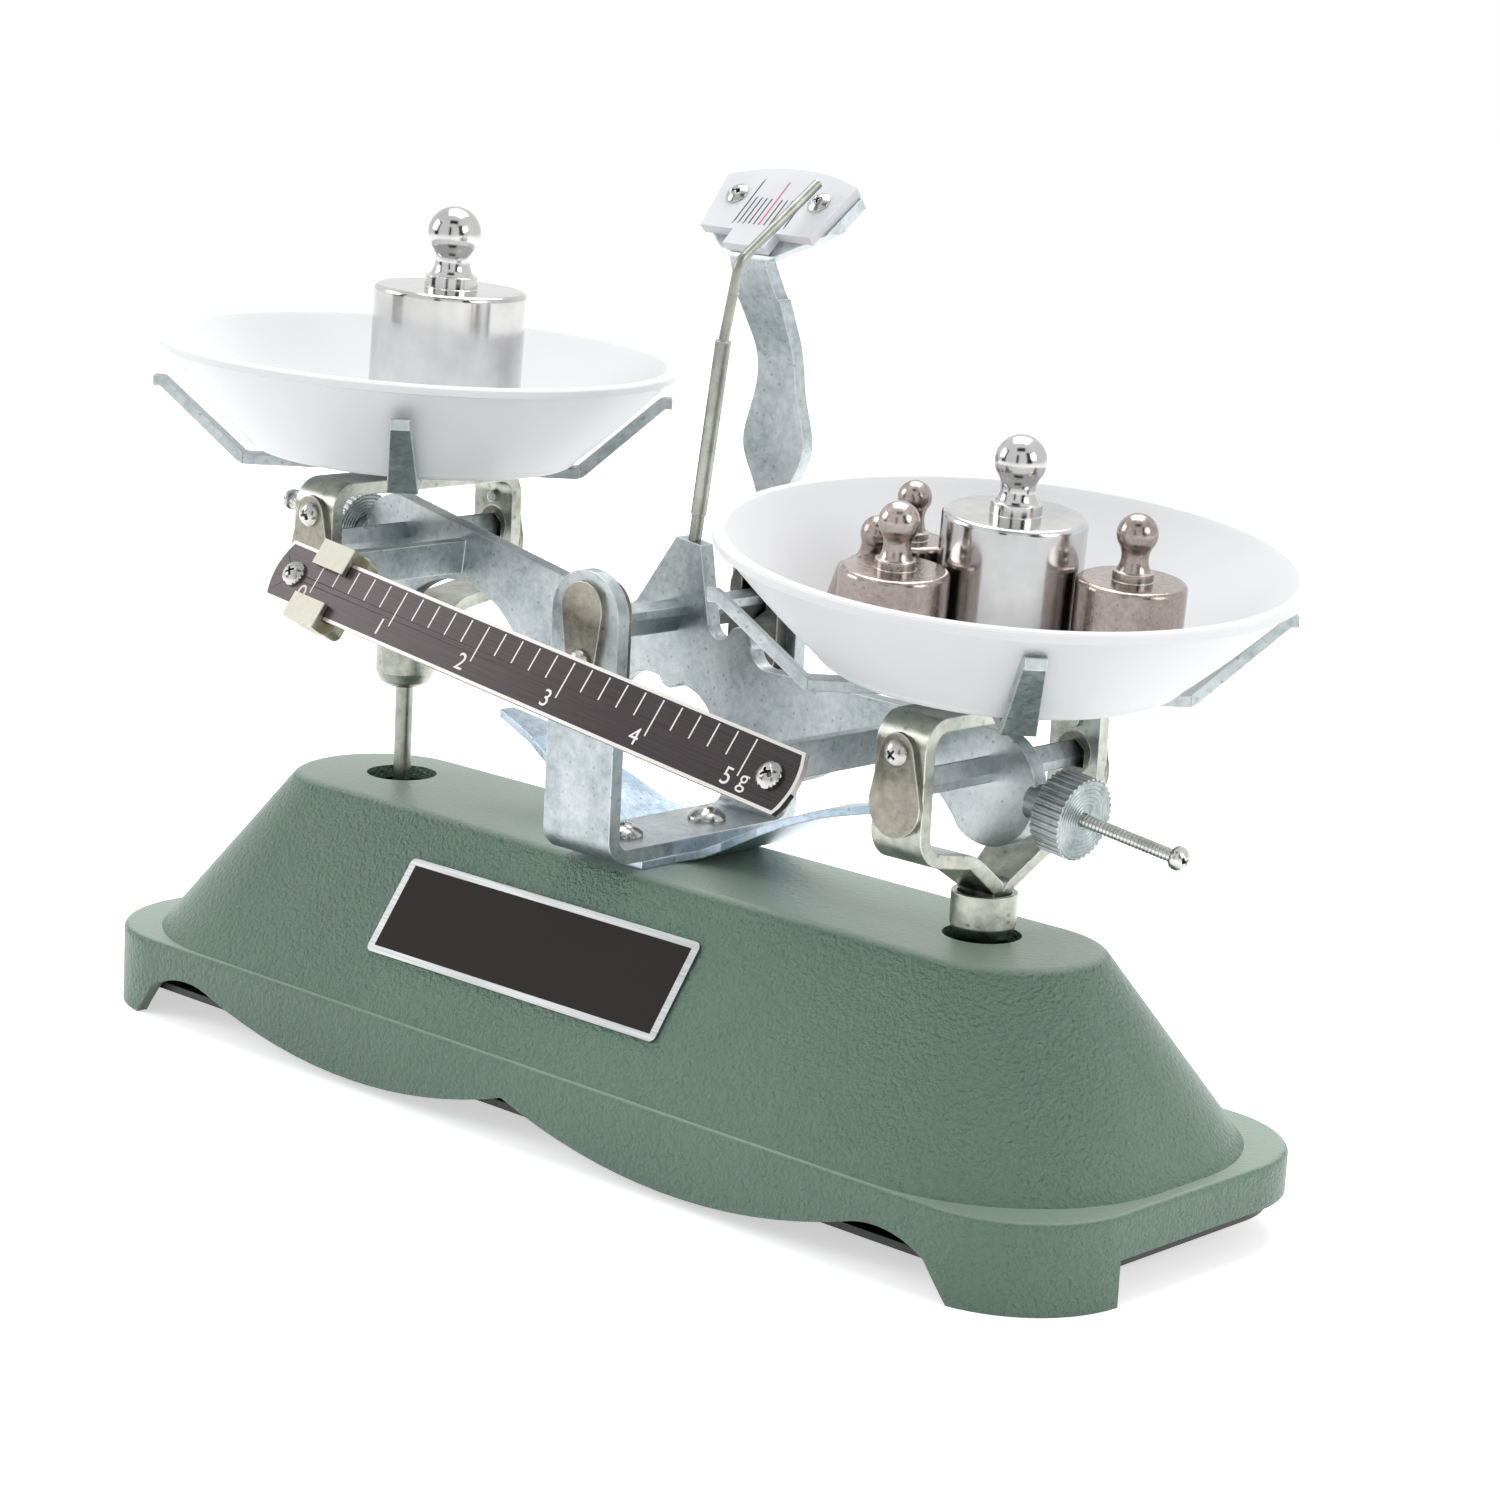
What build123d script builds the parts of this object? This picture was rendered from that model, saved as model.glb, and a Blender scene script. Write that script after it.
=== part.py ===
from build123d import *
import os
from math import asin, cos, radians, sin, tan

os.makedirs("parts", exist_ok=True)

# Small equal-arm table balance with two pans, a sliding rider and six loose weights.
# Lengths are in mm. X runs along the beam, -Y is the front with the ruler, Z is up from the table.

# Fits
running_gap = 0.05
seat_gap = 0.15
loose_gap = 0.4

# Base casting
base_length = 199.0
base_width = 67.0
base_corner = 18.0
base_shift_x = 1.5
base_shift_y = -1.5
base_wall = 2.0
flange_top = 12.7
flange_edge = 1.0
hood_ledge_end = 2.5
hood_ledge_side = 1.0
hood_corner = 27.0
deck_height = 39.0
deck_length = 156.0
deck_width = 28.0
deck_edge = 2.5
rod_hole_radius = 5.6
skirt_cusp = 7.0
front_lobe_height = 1.5
lobe_end_x = 66.0
skirt_arch_height = 7.6
foot_inner_x = 84.5
foot_inner_y = -16.0
foot_arch = 14.5
end_skirt_height = 6.5

# Bottom plate and its screws
plate_thickness = 1.1
plate_underside = 4.3
plate_screw_x = 82.0
plate_screw_y = 19.0
plate_boss_radius = 3.2
plate_screw_radius = 1.25
plate_thread = 4.0

# Name plate on the front slope
name_plate_length = 60.9
name_plate_height = 15.9
name_plate_thickness = 0.5
name_plate_x = -4.5
name_plate_z = 26.4

# Beam, knives and their places
beam_tilt = 7.2
arm_length = 60.8
beam_pivot_z = 72.2
beam_thickness = 2.6
lobe_radius = 8.3
lobe_centre_x = 61.8
lobe_centre_y = -4.3
centre_knife_width = 3.6
centre_knife_height = 4.4
side_knife_width = 2.6
side_knife_height = 3.5
knife_half_angle = 30.0
front_notch_angle = 55.0

# Centre bracket with the indicator post
bracket_width = 13.6
bracket_thickness = 2.2
bracket_front = -20.4
bracket_rear = 20.0
bracket_bend = 3.0
bracket_arch_top = 10.8
bracket_screw_span = 8.9
bracket_nut_height = 2.4
bracket_nut_radius = 2.75
bracket_screw_radius = 1.5
bracket_screw_length = 12.5
limiter_thickness = 1.2
bearing_thickness = 2.4
bearing_half_width = 5.0
cover_thickness = 0.8
cover_screw_drop = 2.8
cover_screw_radius = 1.0
knife_window_radius = 3.4

# Dial and its reclined head
dial_centre_y = 12.4
dial_centre_z = 131.8
dial_slope = 43.0
dial_thickness = 1.6
dial_screw_x = 8.2
dial_screw_v = 5.2

# Ruler, its tabs and the rider
ruler_length = 108.0
ruler_width = 9.5
ruler_thickness = 1.0
ruler_recline = 32.0
ruler_y = -33.0
ruler_v = -2.4
ruler_screw_x = 49.4
tab_x = 47.2
tab_height = 5.2
tab_v = -1.7
tab_thickness = 1.6
scale_zero_x = -44.5
scale_span = 89.0
rider_width = 6.6

# Adjusting screws and knurled nuts
adjuster_v = -4.0
adjuster_radius = 1.0
adjuster_left_end = 88.6
adjuster_right_end = 93.5
boss_radius = 2.6
boss_left_end = 70.4
boss_right_end = 71.6
nut_radius = 5.85
nut_thickness = 4.8
nut_left_x = 70.8
nut_right_x = 73.0
nut_groove = 0.5
nut_grooves = 36

# Pan carriers, hung on the side knives
strap_width = 8.8
strap_thickness = 2.0
carrier_top = 7.8
carrier_reach = 20.0
carrier_foot = -11.5
tongue_width = 6.4
ferrule_radius = 4.7
ferrule_top = -19.4
ferrule_bottom = -26.4
ferrule_wall = 0.8
rod_radius = 1.4
bearing_plug_radius = 3.1
bearing_plug_drop = 1.9
pear_screw_v = 2.7

# Stay inside the base, level with the beam
stay_pivot_z = 17.0
stay_height = 5.2
stay_half_gap = 1.8
stay_cheek = 1.0
stay_pin_radius = 1.5
rod_pin_radius = 1.0
hanger_wall = 1.5
hanger_reach = 11.7

# Pans and the spiders under them
pan_radius = 40.8
pan_floor_radius = 25.2
pan_depth = 16.6
pan_wall = 1.4
pan_mid_radius = 33.6
lip = 1.0
weight_edge = 0.8
spider_thickness = 1.6
spider_boss = 0.4
spider_flat_radius = 26.4
spider_tip_radius = 40.6
spider_tip_height = 12.4
spider_arm_width = 4.4
spider_tip_width = 2.9
left_pan_tilt = 2.2
right_pan_tilt = 5.9
left_pan_heading = 12.0
right_pan_heading = -32.0

# Derived places
tilt = radians(beam_tilt)
base_place = Plane(origin=(base_shift_x, base_shift_y, 0))
bracket_screw_spots = [(0, base_shift_y - bracket_screw_span), (0, base_shift_y + bracket_screw_span)]
beam_face = Plane(origin=(0, 0, beam_pivot_z), x_dir=(cos(tilt), 0, -sin(tilt)), z_dir=(0, -1, 0))
stay_face = Plane(origin=(0, 0, stay_pivot_z), x_dir=(cos(tilt), 0, -sin(tilt)), z_dir=(0, -1, 0))
front_face = Plane(origin=(0, 0, beam_pivot_z), x_dir=(1, 0, 0), z_dir=(0, -1, 0))
recline = radians(ruler_recline)
ruler_face = Plane(origin=beam_face.from_local_coords(Vector(0, ruler_v, -ruler_y)), x_dir=beam_face.x_dir,
                   z_dir=beam_face.z_dir * cos(recline) + beam_face.y_dir * sin(recline))
strap_under = deck_height + limiter_thickness
strap_top = strap_under + bracket_thickness
slope_rise = deck_height - flange_top
hood_width = base_width - 2 * hood_ledge_side
hood_length = base_length - 2 * hood_ledge_end
slope_run = (hood_width - deck_width) / 2
deck_end = deck_width / 2 - 0.1
sides = (("left", -1), ("right", 1))


def turned(place, outline):
    """A turned solid: the outline's points are (radius, height) about the place's Z axis."""
    section = Plane(origin=place.origin, x_dir=place.x_dir, z_dir=-place.y_dir)
    with BuildPart() as piece:
        with BuildSketch(section):
            with BuildLine():
                Polyline(*outline, close=True)
            make_face()
        revolve(axis=Axis(place.origin, place.z_dir))
    return piece.part


def screw(place, head_radius, head_height, shank_radius, shank_length):
    """A round-head screw whose seat lies on the place and whose shank points down its Z axis."""
    section = Plane(origin=place.origin, x_dir=place.x_dir, z_dir=-place.y_dir)
    rim = 0.35 * head_height
    dome = head_height - rim
    dome_radius = (head_radius**2 + dome**2) / (2 * dome)
    half_angle = asin(head_radius / dome_radius) / 2
    dome_middle = (dome_radius * sin(half_angle), head_height - dome_radius * (1 - cos(half_angle)))
    with BuildPart() as piece:
        with BuildSketch(section):
            with BuildLine():
                Polyline((0, head_height), (0, -shank_length), (shank_radius, -shank_length),
                         (shank_radius, 0), (head_radius, 0), (head_radius, rim))
                ThreePointArc((head_radius, rim), dome_middle, (0, head_height))
            make_face()
        revolve(axis=Axis(place.origin, place.z_dir))
    return piece.part


def knife_outline(width, height):
    """The points of a knife bar's section, edge down at the origin."""
    shoulder = width / 2 / tan(radians(knife_half_angle))
    return [(0, 0), (width / 2, shoulder), (width / 2, height), (-width / 2, height), (-width / 2, shoulder)]


def knife_place(sign):
    """The point of a side knife's edge, at rest."""
    return (sign * arm_length * cos(tilt), 0, beam_pivot_z - sign * arm_length * sin(tilt))


def level_place(sign):
    """The upright plane through a side knife's edge, seen from the front."""
    return Plane(origin=knife_place(sign), x_dir=(1, 0, 0), z_dir=(0, -1, 0))


def flat_place(sign, height):
    """The level plane at a height above a side knife's edge."""
    return Plane(origin=knife_place(sign)).offset(height)


# Base shell: one thin casting, a sloping hood on a scalloped skirt
with BuildPart() as skirt_block:
    with BuildSketch(base_place):
        RectangleRounded(base_length, base_width, base_corner)
    extrude(amount=flange_top)
    fillet(skirt_block.faces().sort_by(Axis.Z)[-1].edges(), flange_edge)

# its hollow, out of which the screw posts stand down to the bottom plate
with BuildPart() as inside:
    with BuildSketch(base_place.offset(flange_top - base_wall)):
        RectangleRounded(hood_length - 2 * base_wall, hood_width - 2 * base_wall, hood_corner - base_wall)
    with BuildSketch(base_place.offset(deck_height - base_wall)):
        RectangleRounded(deck_length - 2 * base_wall, deck_width - 2 * base_wall, deck_end - base_wall)
    loft()
    with BuildSketch(base_place):
        RectangleRounded(base_length - 2 * base_wall, base_width - 2 * base_wall, base_corner - base_wall)
    extrude(amount=flange_top - base_wall)
    with BuildSketch(base_place.offset(plate_underside + plate_thickness)):
        with GridLocations(2 * plate_screw_x, 2 * plate_screw_y, 2, 2):
            Circle(plate_boss_radius)
    extrude(amount=deck_height, mode=Mode.SUBTRACT)


def skirt_cut(start_y, lobe_height, with_feet):
    """The scallops under one long side, from the start plane towards the front."""
    rise = end_skirt_height
    with BuildPart() as cut:
        with BuildSketch(Plane(origin=(base_shift_x, start_y, 0), x_dir=(1, 0, 0), z_dir=(0, -1, 0))):
            with BuildLine():
                lobe = ThreePointArc((0, skirt_cusp), (lobe_end_x / 2, lobe_height), (lobe_end_x, rise))
                if with_feet:
                    arch = ThreePointArc(lobe @ 1, (lobe_end_x + foot_arch / 2, skirt_arch_height),
                                         (lobe_end_x + foot_arch, rise - 1.3))
                    Polyline(arch @ 1, (foot_inner_x, 0), (foot_inner_x, -5), (0, -5))
                else:
                    Polyline(lobe @ 1, (base_length, rise), (base_length, -5), (0, -5))
                mirror(about=Plane.YZ)
            make_face()
        extrude(amount=base_width)
    return cut.part


with BuildPart() as base_shell:
    with BuildSketch(base_place.offset(flange_top - flange_edge)):
        RectangleRounded(hood_length, hood_width, hood_corner)
    extrude(amount=flange_edge)
    with BuildSketch(base_place.offset(flange_top)):
        RectangleRounded(hood_length, hood_width, hood_corner)
    with BuildSketch(base_place.offset(deck_height)):
        RectangleRounded(deck_length, deck_width, deck_end)
    loft()
    fillet(base_shell.faces().sort_by(Axis.Z)[-1].edges(), deck_edge)
    add(skirt_block.part)
    add(inside.part, mode=Mode.SUBTRACT)
    # scallops: the front long side has corner feet, the rear one rests on its lobes
    add(skirt_cut(base_shift_y, front_lobe_height, True), mode=Mode.SUBTRACT)
    add(skirt_cut(base_shift_y + base_width, 0, False), mode=Mode.SUBTRACT)
    for sx in (-1, 1):
        with BuildSketch(base_place.offset(-1)):
            with Locations((sx * (foot_inner_x + base_length) / 2, (foot_inner_y + base_width) / 2)):
                Rectangle(base_length - foot_inner_x, base_width - foot_inner_y)
        extrude(amount=end_skirt_height + 1, mode=Mode.SUBTRACT)
    with BuildSketch(base_place.offset(plate_underside)):
        with GridLocations(2 * plate_screw_x, 2 * plate_screw_y, 2, 2):
            Circle(plate_screw_radius)
    extrude(amount=plate_thickness + plate_thread, mode=Mode.SUBTRACT)
    # holes in the deck for the carrier rods and the bracket's screws
    with BuildSketch(Plane.XY.offset(deck_height + 1)):
        with Locations((-arm_length * cos(tilt), 0), (arm_length * cos(tilt), 0)):
            Circle(rod_hole_radius)
        with Locations(*bracket_screw_spots):
            Circle(bracket_screw_radius)
    extrude(amount=-base_wall - 2, mode=Mode.SUBTRACT)

base_shell.part.label = "base_shell"
export_step(base_shell.part, "parts/base_shell.step")

# Bottom plate, a flat sheet let into the skirt
with BuildPart() as bottom_plate:
    with BuildSketch(base_place.offset(plate_underside)):
        RectangleRounded(base_length - 2 * (base_wall + loose_gap), base_width - 2 * (base_wall + loose_gap),
                         base_corner - base_wall - loose_gap)
        with GridLocations(2 * plate_screw_x, 2 * plate_screw_y, 2, 2):
            Circle(plate_screw_radius, mode=Mode.SUBTRACT)
    extrude(amount=plate_thickness)

bottom_plate.part.label = "bottom_plate"
export_step(bottom_plate.part, "parts/bottom_plate.step")

with BuildPart() as bottom_screws:
    for sx in (-1, 1):
        for sy in (-1, 1):
            under = Plane(origin=(base_shift_x + sx * plate_screw_x, base_shift_y + sy * plate_screw_y,
                                  plate_underside), z_dir=(0, 0, -1))
            add(screw(under, 2.3, 1.5, plate_screw_radius, plate_thickness + plate_thread))

bottom_screws.part.label = "bottom_screws"
export_step(bottom_screws.part, "parts/bottom_screws.step")

# Name plate, left bare, lying on the front slope
slope_y = base_shift_y - deck_width / 2 - slope_run * (deck_height - name_plate_z) / slope_rise
slope_face = Plane(origin=(name_plate_x, slope_y, name_plate_z), x_dir=(1, 0, 0), z_dir=(0, -slope_rise, slope_run))
with BuildPart() as name_plate:
    with BuildSketch(slope_face):
        RectangleRounded(name_plate_length, name_plate_height, 1.0)
    extrude(amount=name_plate_thickness)

name_plate.part.label = "name_plate"
export_step(name_plate.part, "parts/name_plate.step")

# Swing limiter: a thin winged plate clamped under the bracket, its tips stop the beam
wing_start = 12.0
wing_reach = 39.0
wing_rise = 13.6
wing_tip_half = 4.5
limiter_half_depth = 21.6
with BuildPart() as swing_limiter:
    with BuildSketch(Plane.XZ.offset(-limiter_half_depth - 2)):
        with BuildLine():
            half = limiter_thickness / 2
            FilletPolyline((-wing_reach, deck_height + half + wing_rise), (-wing_start, deck_height + half),
                           (wing_start, deck_height + half), (wing_reach, deck_height + half + wing_rise), radius=9.0)
        trace(line_width=limiter_thickness)
    extrude(amount=2 * limiter_half_depth + 4)
    with BuildSketch(Plane.XY.offset(deck_height - 1)):
        with BuildLine():
            Polyline((-wing_start, -limiter_half_depth), (wing_start, -limiter_half_depth),
                     (wing_reach + 1, -wing_tip_half), (wing_reach + 1, wing_tip_half),
                     (bracket_width / 2 + 4, bracket_rear - 4), (-bracket_width / 2 - 4, bracket_rear - 4),
                     (-wing_reach - 1, wing_tip_half), (-wing_reach - 1, -wing_tip_half), close=True)
        make_face()
        with Locations(*bracket_screw_spots):
            Circle(bracket_screw_radius, mode=Mode.SUBTRACT)
    extrude(amount=wing_rise + 5, mode=Mode.INTERSECT)

swing_limiter.part.label = "swing_limiter"
export_step(swing_limiter.part, "parts/swing_limiter.step")

# Centre bracket: one bent strip, front arm, strap, rear arm and the post with its reclined head
dial_face = Plane(origin=(0, dial_centre_y, dial_centre_z), x_dir=(1, 0, 0),
                  z_dir=(0, -sin(radians(dial_slope)), cos(radians(dial_slope))))
head_mid = dial_face.offset(-dial_thickness - bracket_thickness / 2)
arm_mid_y = bracket_rear - bracket_thickness / 2
arch_centre_z = beam_pivot_z + bracket_arch_top - bracket_width / 2
head_low = head_mid.from_local_coords(Vector(0, -4.4, 0))
head_high = head_mid.from_local_coords(Vector(0, 8.6, 0))
side_view = Plane(origin=(0, 0, 0), x_dir=(0, 1, 0), z_dir=(1, 0, 0))

post_foot_z = 80.0
post_neck_z = 91.0
post_shoulder_z = 97.5
head_root_z = 126.5
head_wing_z = 131.0
head_corner_z = 137.2
head_top_z = 141.0
with BuildPart() as bracket_outline:
    with BuildSketch(Plane.XZ):
        with Locations((0, (strap_under + arch_centre_z) / 2)):
            Rectangle(bracket_width, arch_centre_z - strap_under)
        with Locations((0, arch_centre_z)):
            Circle(bracket_width / 2)
    extrude(amount=30)
    with BuildSketch(Plane.XZ):
        with BuildLine():
            Line((bracket_width / 2, strap_under), (bracket_width / 2, post_foot_z))
            edge = Spline((bracket_width / 2, post_foot_z), (2.9, post_neck_z), (5.9, post_shoulder_z), (3.9, 108.0),
                          (4.2, 121.0), (3.6, head_root_z), tangents=[(-0.5, 1), (0, 1)])
            Polyline(edge @ 1, (12.0, head_wing_z), (13.4, head_corner_z))
            Spline((13.4, head_corner_z), (0, head_top_z), tangents=[(-1, 0.3), (-1, 0)])
            Line((0, head_top_z), (0, strap_under))
            Line((0, strap_under), (bracket_width / 2, strap_under))
        make_face()
        mirror(about=Plane.YZ)
    extrude(amount=-30)

with BuildPart() as centre_bracket:
    with BuildSketch(side_view):
        with BuildLine():
            FilletPolyline((bracket_front + bracket_thickness / 2, arch_centre_z + bracket_width),
                           (bracket_front + bracket_thickness / 2, strap_under + bracket_thickness / 2),
                           (arm_mid_y, strap_under + bracket_thickness / 2), (arm_mid_y, 112.0),
                           (head_low.Y, head_low.Z), (head_high.Y, head_high.Z),
                           radius=[bracket_bend, bracket_bend, 14.0, 1.8])
        trace(line_width=bracket_thickness)
    extrude(amount=16, both=True)
    add(bracket_outline.part, mode=Mode.INTERSECT)
    # window for the knife ends, holes for the cover screws, the strap's screws and the dial's screws
    with BuildSketch(front_face.offset(30)):
        with Locations((0, centre_knife_height / 2)):
            Circle(knife_window_radius)
        with Locations((0, -cover_screw_drop)):
            Circle(cover_screw_radius)
    extrude(amount=-60, mode=Mode.SUBTRACT)
    with BuildSketch(Plane.XY.offset(strap_top + 1)):
        with Locations(*bracket_screw_spots):
            Circle(bracket_screw_radius)
    extrude(amount=-bracket_thickness - 2, mode=Mode.SUBTRACT)
    with BuildSketch(dial_face):
        with Locations((-dial_screw_x, dial_screw_v), (dial_screw_x, dial_screw_v)):
            Circle(1.0)
    extrude(amount=-8, mode=Mode.SUBTRACT)

centre_bracket.part.label = "centre_bracket"
export_step(centre_bracket.part, "parts/centre_bracket.step")

# Screws and nuts that hold the bracket, the limiter and the inner hanger to the deck
with BuildPart() as bracket_screws:
    for x, y in bracket_screw_spots:
        add(screw(Plane(origin=(x, y, strap_top)), 2.9, 2.0, bracket_screw_radius, bracket_screw_length))

bracket_screws.part.label = "bracket_screws"
export_step(bracket_screws.part, "parts/bracket_screws.step")

hanger_top = deck_height - base_wall
with BuildPart() as bracket_nuts:
    with BuildSketch(Plane.XY.offset(hanger_top - hanger_wall)):
        with Locations(*bracket_screw_spots):
            RegularPolygon(bracket_nut_radius, 6)
            Circle(bracket_screw_radius, mode=Mode.SUBTRACT)
    extrude(amount=-bracket_nut_height)

bracket_nuts.part.label = "bracket_nuts"
export_step(bracket_nuts.part, "parts/bracket_nuts.step")

# Hardened bearing plates inside the arms, with the notch in which the centre knife rests
notch_rise = 2.6 / tan(radians(front_notch_angle))
for name, face_y in (("front_bearing", bracket_front + bracket_thickness), ("rear_bearing", arm_mid_y - bracket_thickness / 2)):
    inner = bearing_thickness if face_y < 0 else -bearing_thickness
    with BuildPart() as bearing:
        with BuildSketch(Plane(origin=(0, face_y, beam_pivot_z), x_dir=(1, 0, 0), z_dir=(0, 1, 0))):
            with Locations((0, -4.3)):
                Circle(bearing_half_width)
            with Locations((0, 0.4)):
                Rectangle(2 * bearing_half_width, 8.0)
            with Locations((0, 4.3)):
                Circle(bearing_half_width)
            Polygon((0, running_gap), (2.6, -notch_rise), (2.6, -6.2), (-2.6, -6.2), (-2.6, -notch_rise),
                    align=None, mode=Mode.SUBTRACT)
            with Locations((0, cover_screw_drop)):
                Circle(cover_screw_radius, mode=Mode.SUBTRACT)
        extrude(amount=inner)
    bearing.part.label = name
    export_step(bearing.part, f"parts/{name}.step")


def cover_outline(place, top, top_radius, bottom, bottom_radius, thickness, screw_v):
    """A pear-shaped cover sheet on a face, with its screw hole."""
    with BuildPart() as piece:
        with BuildSketch(place) as outline:
            with Locations((0, top)):
                Circle(top_radius)
            with Locations((0, bottom)):
                Circle(bottom_radius)
            make_hull(outline.edges())
            with Locations((0, screw_v)):
                Circle(1.0, mode=Mode.SUBTRACT)
        extrude(amount=thickness)
    return piece.part


# Cover sheets over the centre bearings, wide end up, each held by one screw below the knife
for name, face_y, facing in (("front_cover", bracket_front, -1), ("rear_cover", bracket_rear, 1)):
    cover_place = Plane(origin=(0, face_y, beam_pivot_z), x_dir=(-facing, 0, 0), z_dir=(0, facing, 0))
    cover = cover_outline(cover_place, 5.1, 4.1, -2.0, 3.0, cover_thickness, -cover_screw_drop)
    cover.label = name
    export_step(cover, f"parts/{name}.step")

with BuildPart() as centre_cover_screws:
    for face_y, facing in ((bracket_front, -1), (bracket_rear, 1)):
        seat = Plane(origin=(0, face_y + facing * cover_thickness, beam_pivot_z - cover_screw_drop), x_dir=(1, 0, 0),
                     z_dir=(0, facing, 0))
        add(screw(seat, 2.0, 1.5, 1.0, cover_thickness + bracket_thickness + bearing_thickness))

centre_cover_screws.part.label = "centre_cover_screws"
export_step(centre_cover_screws.part, "parts/centre_cover_screws.step")

# Milky dial on the reclined head
with BuildPart() as dial:
    with BuildSketch(dial_face):
        with BuildLine():
            Polyline((-4.2, -1.6), (-4.2, -4.5), (4.2, -4.5), (4.2, -1.6), (10.9, -1.6), (12.9, 9.0))
            ThreePointArc((12.9, 9.0), (0, 11.4), (-12.9, 9.0))
            Polyline((-12.9, 9.0), (-10.9, -1.6), (-4.2, -1.6))
        make_face()
        with Locations((-dial_screw_x, dial_screw_v), (dial_screw_x, dial_screw_v)):
            Circle(1.0, mode=Mode.SUBTRACT)
    extrude(amount=-dial_thickness)

dial.part.label = "dial"
export_step(dial.part, "parts/dial.step")

with BuildPart() as dial_screws:
    for sx in (-1, 1):
        seat = Plane(origin=dial_face.from_local_coords(Vector(sx * dial_screw_x, dial_screw_v, 0)),
                     x_dir=(1, 0, 0), z_dir=dial_face.z_dir)
        add(screw(seat, 1.8, 1.0, 1.0, dial_thickness + bracket_thickness))

dial_screws.part.label = "dial_screws"
export_step(dial_screws.part, "parts/dial_screws.step")

# Beam: one stamped plate with a tower, an arched belly each side and a round lobe at each end
with BuildPart() as beam:
    with BuildSketch(beam_face.offset(-beam_thickness / 2)):
        with BuildLine():
            Polyline((-2.5, 13.8), (2.5, 13.8), (4.2, 8.5), (6.2, 2.6))
            ThreePointArc((6.2, 2.6), (8.4, 1.2), (10.4, 2.4))
            ThreePointArc((10.4, 2.4), (13.2, 4.2), (15.2, 1.6))
            ThreePointArc((15.2, 1.6), (16.4, -0.1), (18.6, -0.6))
            Line((18.6, -0.6), (lobe_centre_x - 1.6, lobe_centre_y + 8.15))
            ThreePointArc((lobe_centre_x - 1.6, lobe_centre_y + 8.15), (lobe_centre_x + lobe_radius, lobe_centre_y),
                          (lobe_centre_x - 4.2, lobe_centre_y - 7.16))
            ThreePointArc((lobe_centre_x - 4.2, lobe_centre_y - 7.16), (46.5, -5.6), (33.0, -10.8))
            ThreePointArc((33.0, -10.8), (21.0, -16.2), (9.8, -11.2))
            ThreePointArc((9.8, -11.2), (5.6, -7.9), (2.0, -7.6))
            ThreePointArc((2.0, -7.6), (0, -8.8), (-2.0, -7.6))
            ThreePointArc((-2.0, -7.6), (-5.6, -7.9), (-9.8, -11.2))
            ThreePointArc((-9.8, -11.2), (-21.0, -16.2), (-33.0, -10.8))
            ThreePointArc((-33.0, -10.8), (-46.5, -5.6), (4.2 - lobe_centre_x, lobe_centre_y - 7.16))
            ThreePointArc((4.2 - lobe_centre_x, lobe_centre_y - 7.16), (-lobe_centre_x - lobe_radius, lobe_centre_y),
                          (1.6 - lobe_centre_x, lobe_centre_y + 8.15))
            Line((1.6 - lobe_centre_x, lobe_centre_y + 8.15), (-13.0, 0.6))
            ThreePointArc((-13.0, 0.6), (-10.0, 1.2), (-8.2, 3.2))
            Line((-8.2, 3.2), (-2.5, 13.8))
        make_face()
    extrude(amount=beam_thickness)
    # tabs bent forward to carry the ruler, each ending in a reclined ear behind it
    for sx in (-1, 1):
        with BuildSketch(beam_face.offset(beam_thickness / 2)):
            with Locations((sx * tab_x, tab_v)):
                Rectangle(tab_thickness, tab_height)
        extrude(amount=-ruler_y - beam_thickness / 2)
    with BuildSketch(ruler_face.offset(-ruler_thickness)):
        Rectangle(ruler_length, 2 * ruler_width)
    extrude(amount=10, mode=Mode.SUBTRACT)
    for sx in (-1, 1):
        with BuildSketch(ruler_face.offset(-ruler_thickness)):
            with Locations((sx * ruler_screw_x, 0)):
                RectangleRounded(6.4, 6.4, 1.0)
            with Locations((sx * ruler_screw_x, 0)):
                Circle(1.0, mode=Mode.SUBTRACT)
        extrude(amount=-tab_thickness)
    # bosses for the adjusting screws
    for sx, boss_end in ((-1, boss_left_end), (1, boss_right_end)):
        boss_place = Plane(origin=beam_face.from_local_coords(Vector(sx * (lobe_centre_x + lobe_radius - 1.2), adjuster_v, 0)),
                           x_dir=(0, 1, 0), z_dir=beam_face.x_dir * sx)
        with BuildSketch(boss_place):
            Circle(boss_radius)
        extrude(amount=boss_end - lobe_centre_x - lobe_radius + 1.2)
        with BuildSketch(boss_place.offset(-4)):
            Circle(adjuster_radius)
        extrude(amount=10, mode=Mode.SUBTRACT)
    # slots for the three knife bars and the hole for the pointer's foot
    with BuildSketch(beam_face.offset(-beam_thickness)):
        Polygon(*knife_outline(centre_knife_width, centre_knife_height), align=None)
        for sx in (-1, 1):
            Polygon(*[(sx * arm_length + x, -y) for x, y in knife_outline(side_knife_width, side_knife_height)], align=None)
    extrude(amount=2 * beam_thickness, mode=Mode.SUBTRACT)
    with BuildSketch(Plane(origin=beam_face.from_local_coords(Vector(0, 9.0, 0)), x_dir=(0, 1, 0), z_dir=beam_face.y_dir)):
        Circle(0.95)
    extrude(amount=10, mode=Mode.SUBTRACT)

beam.part.label = "beam"
export_step(beam.part, "parts/beam.step")

# Knife bars pressed through the beam: the middle one edge down, the end ones edge up
centre_knife_reach = bracket_rear - 0.4
with BuildPart() as centre_knife:
    with BuildSketch(beam_face.offset(-centre_knife_reach)):
        Polygon(*knife_outline(centre_knife_width, centre_knife_height), align=None)
    extrude(amount=2 * centre_knife_reach)

centre_knife.part.label = "centre_knife"
export_step(centre_knife.part, "parts/centre_knife.step")

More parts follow.
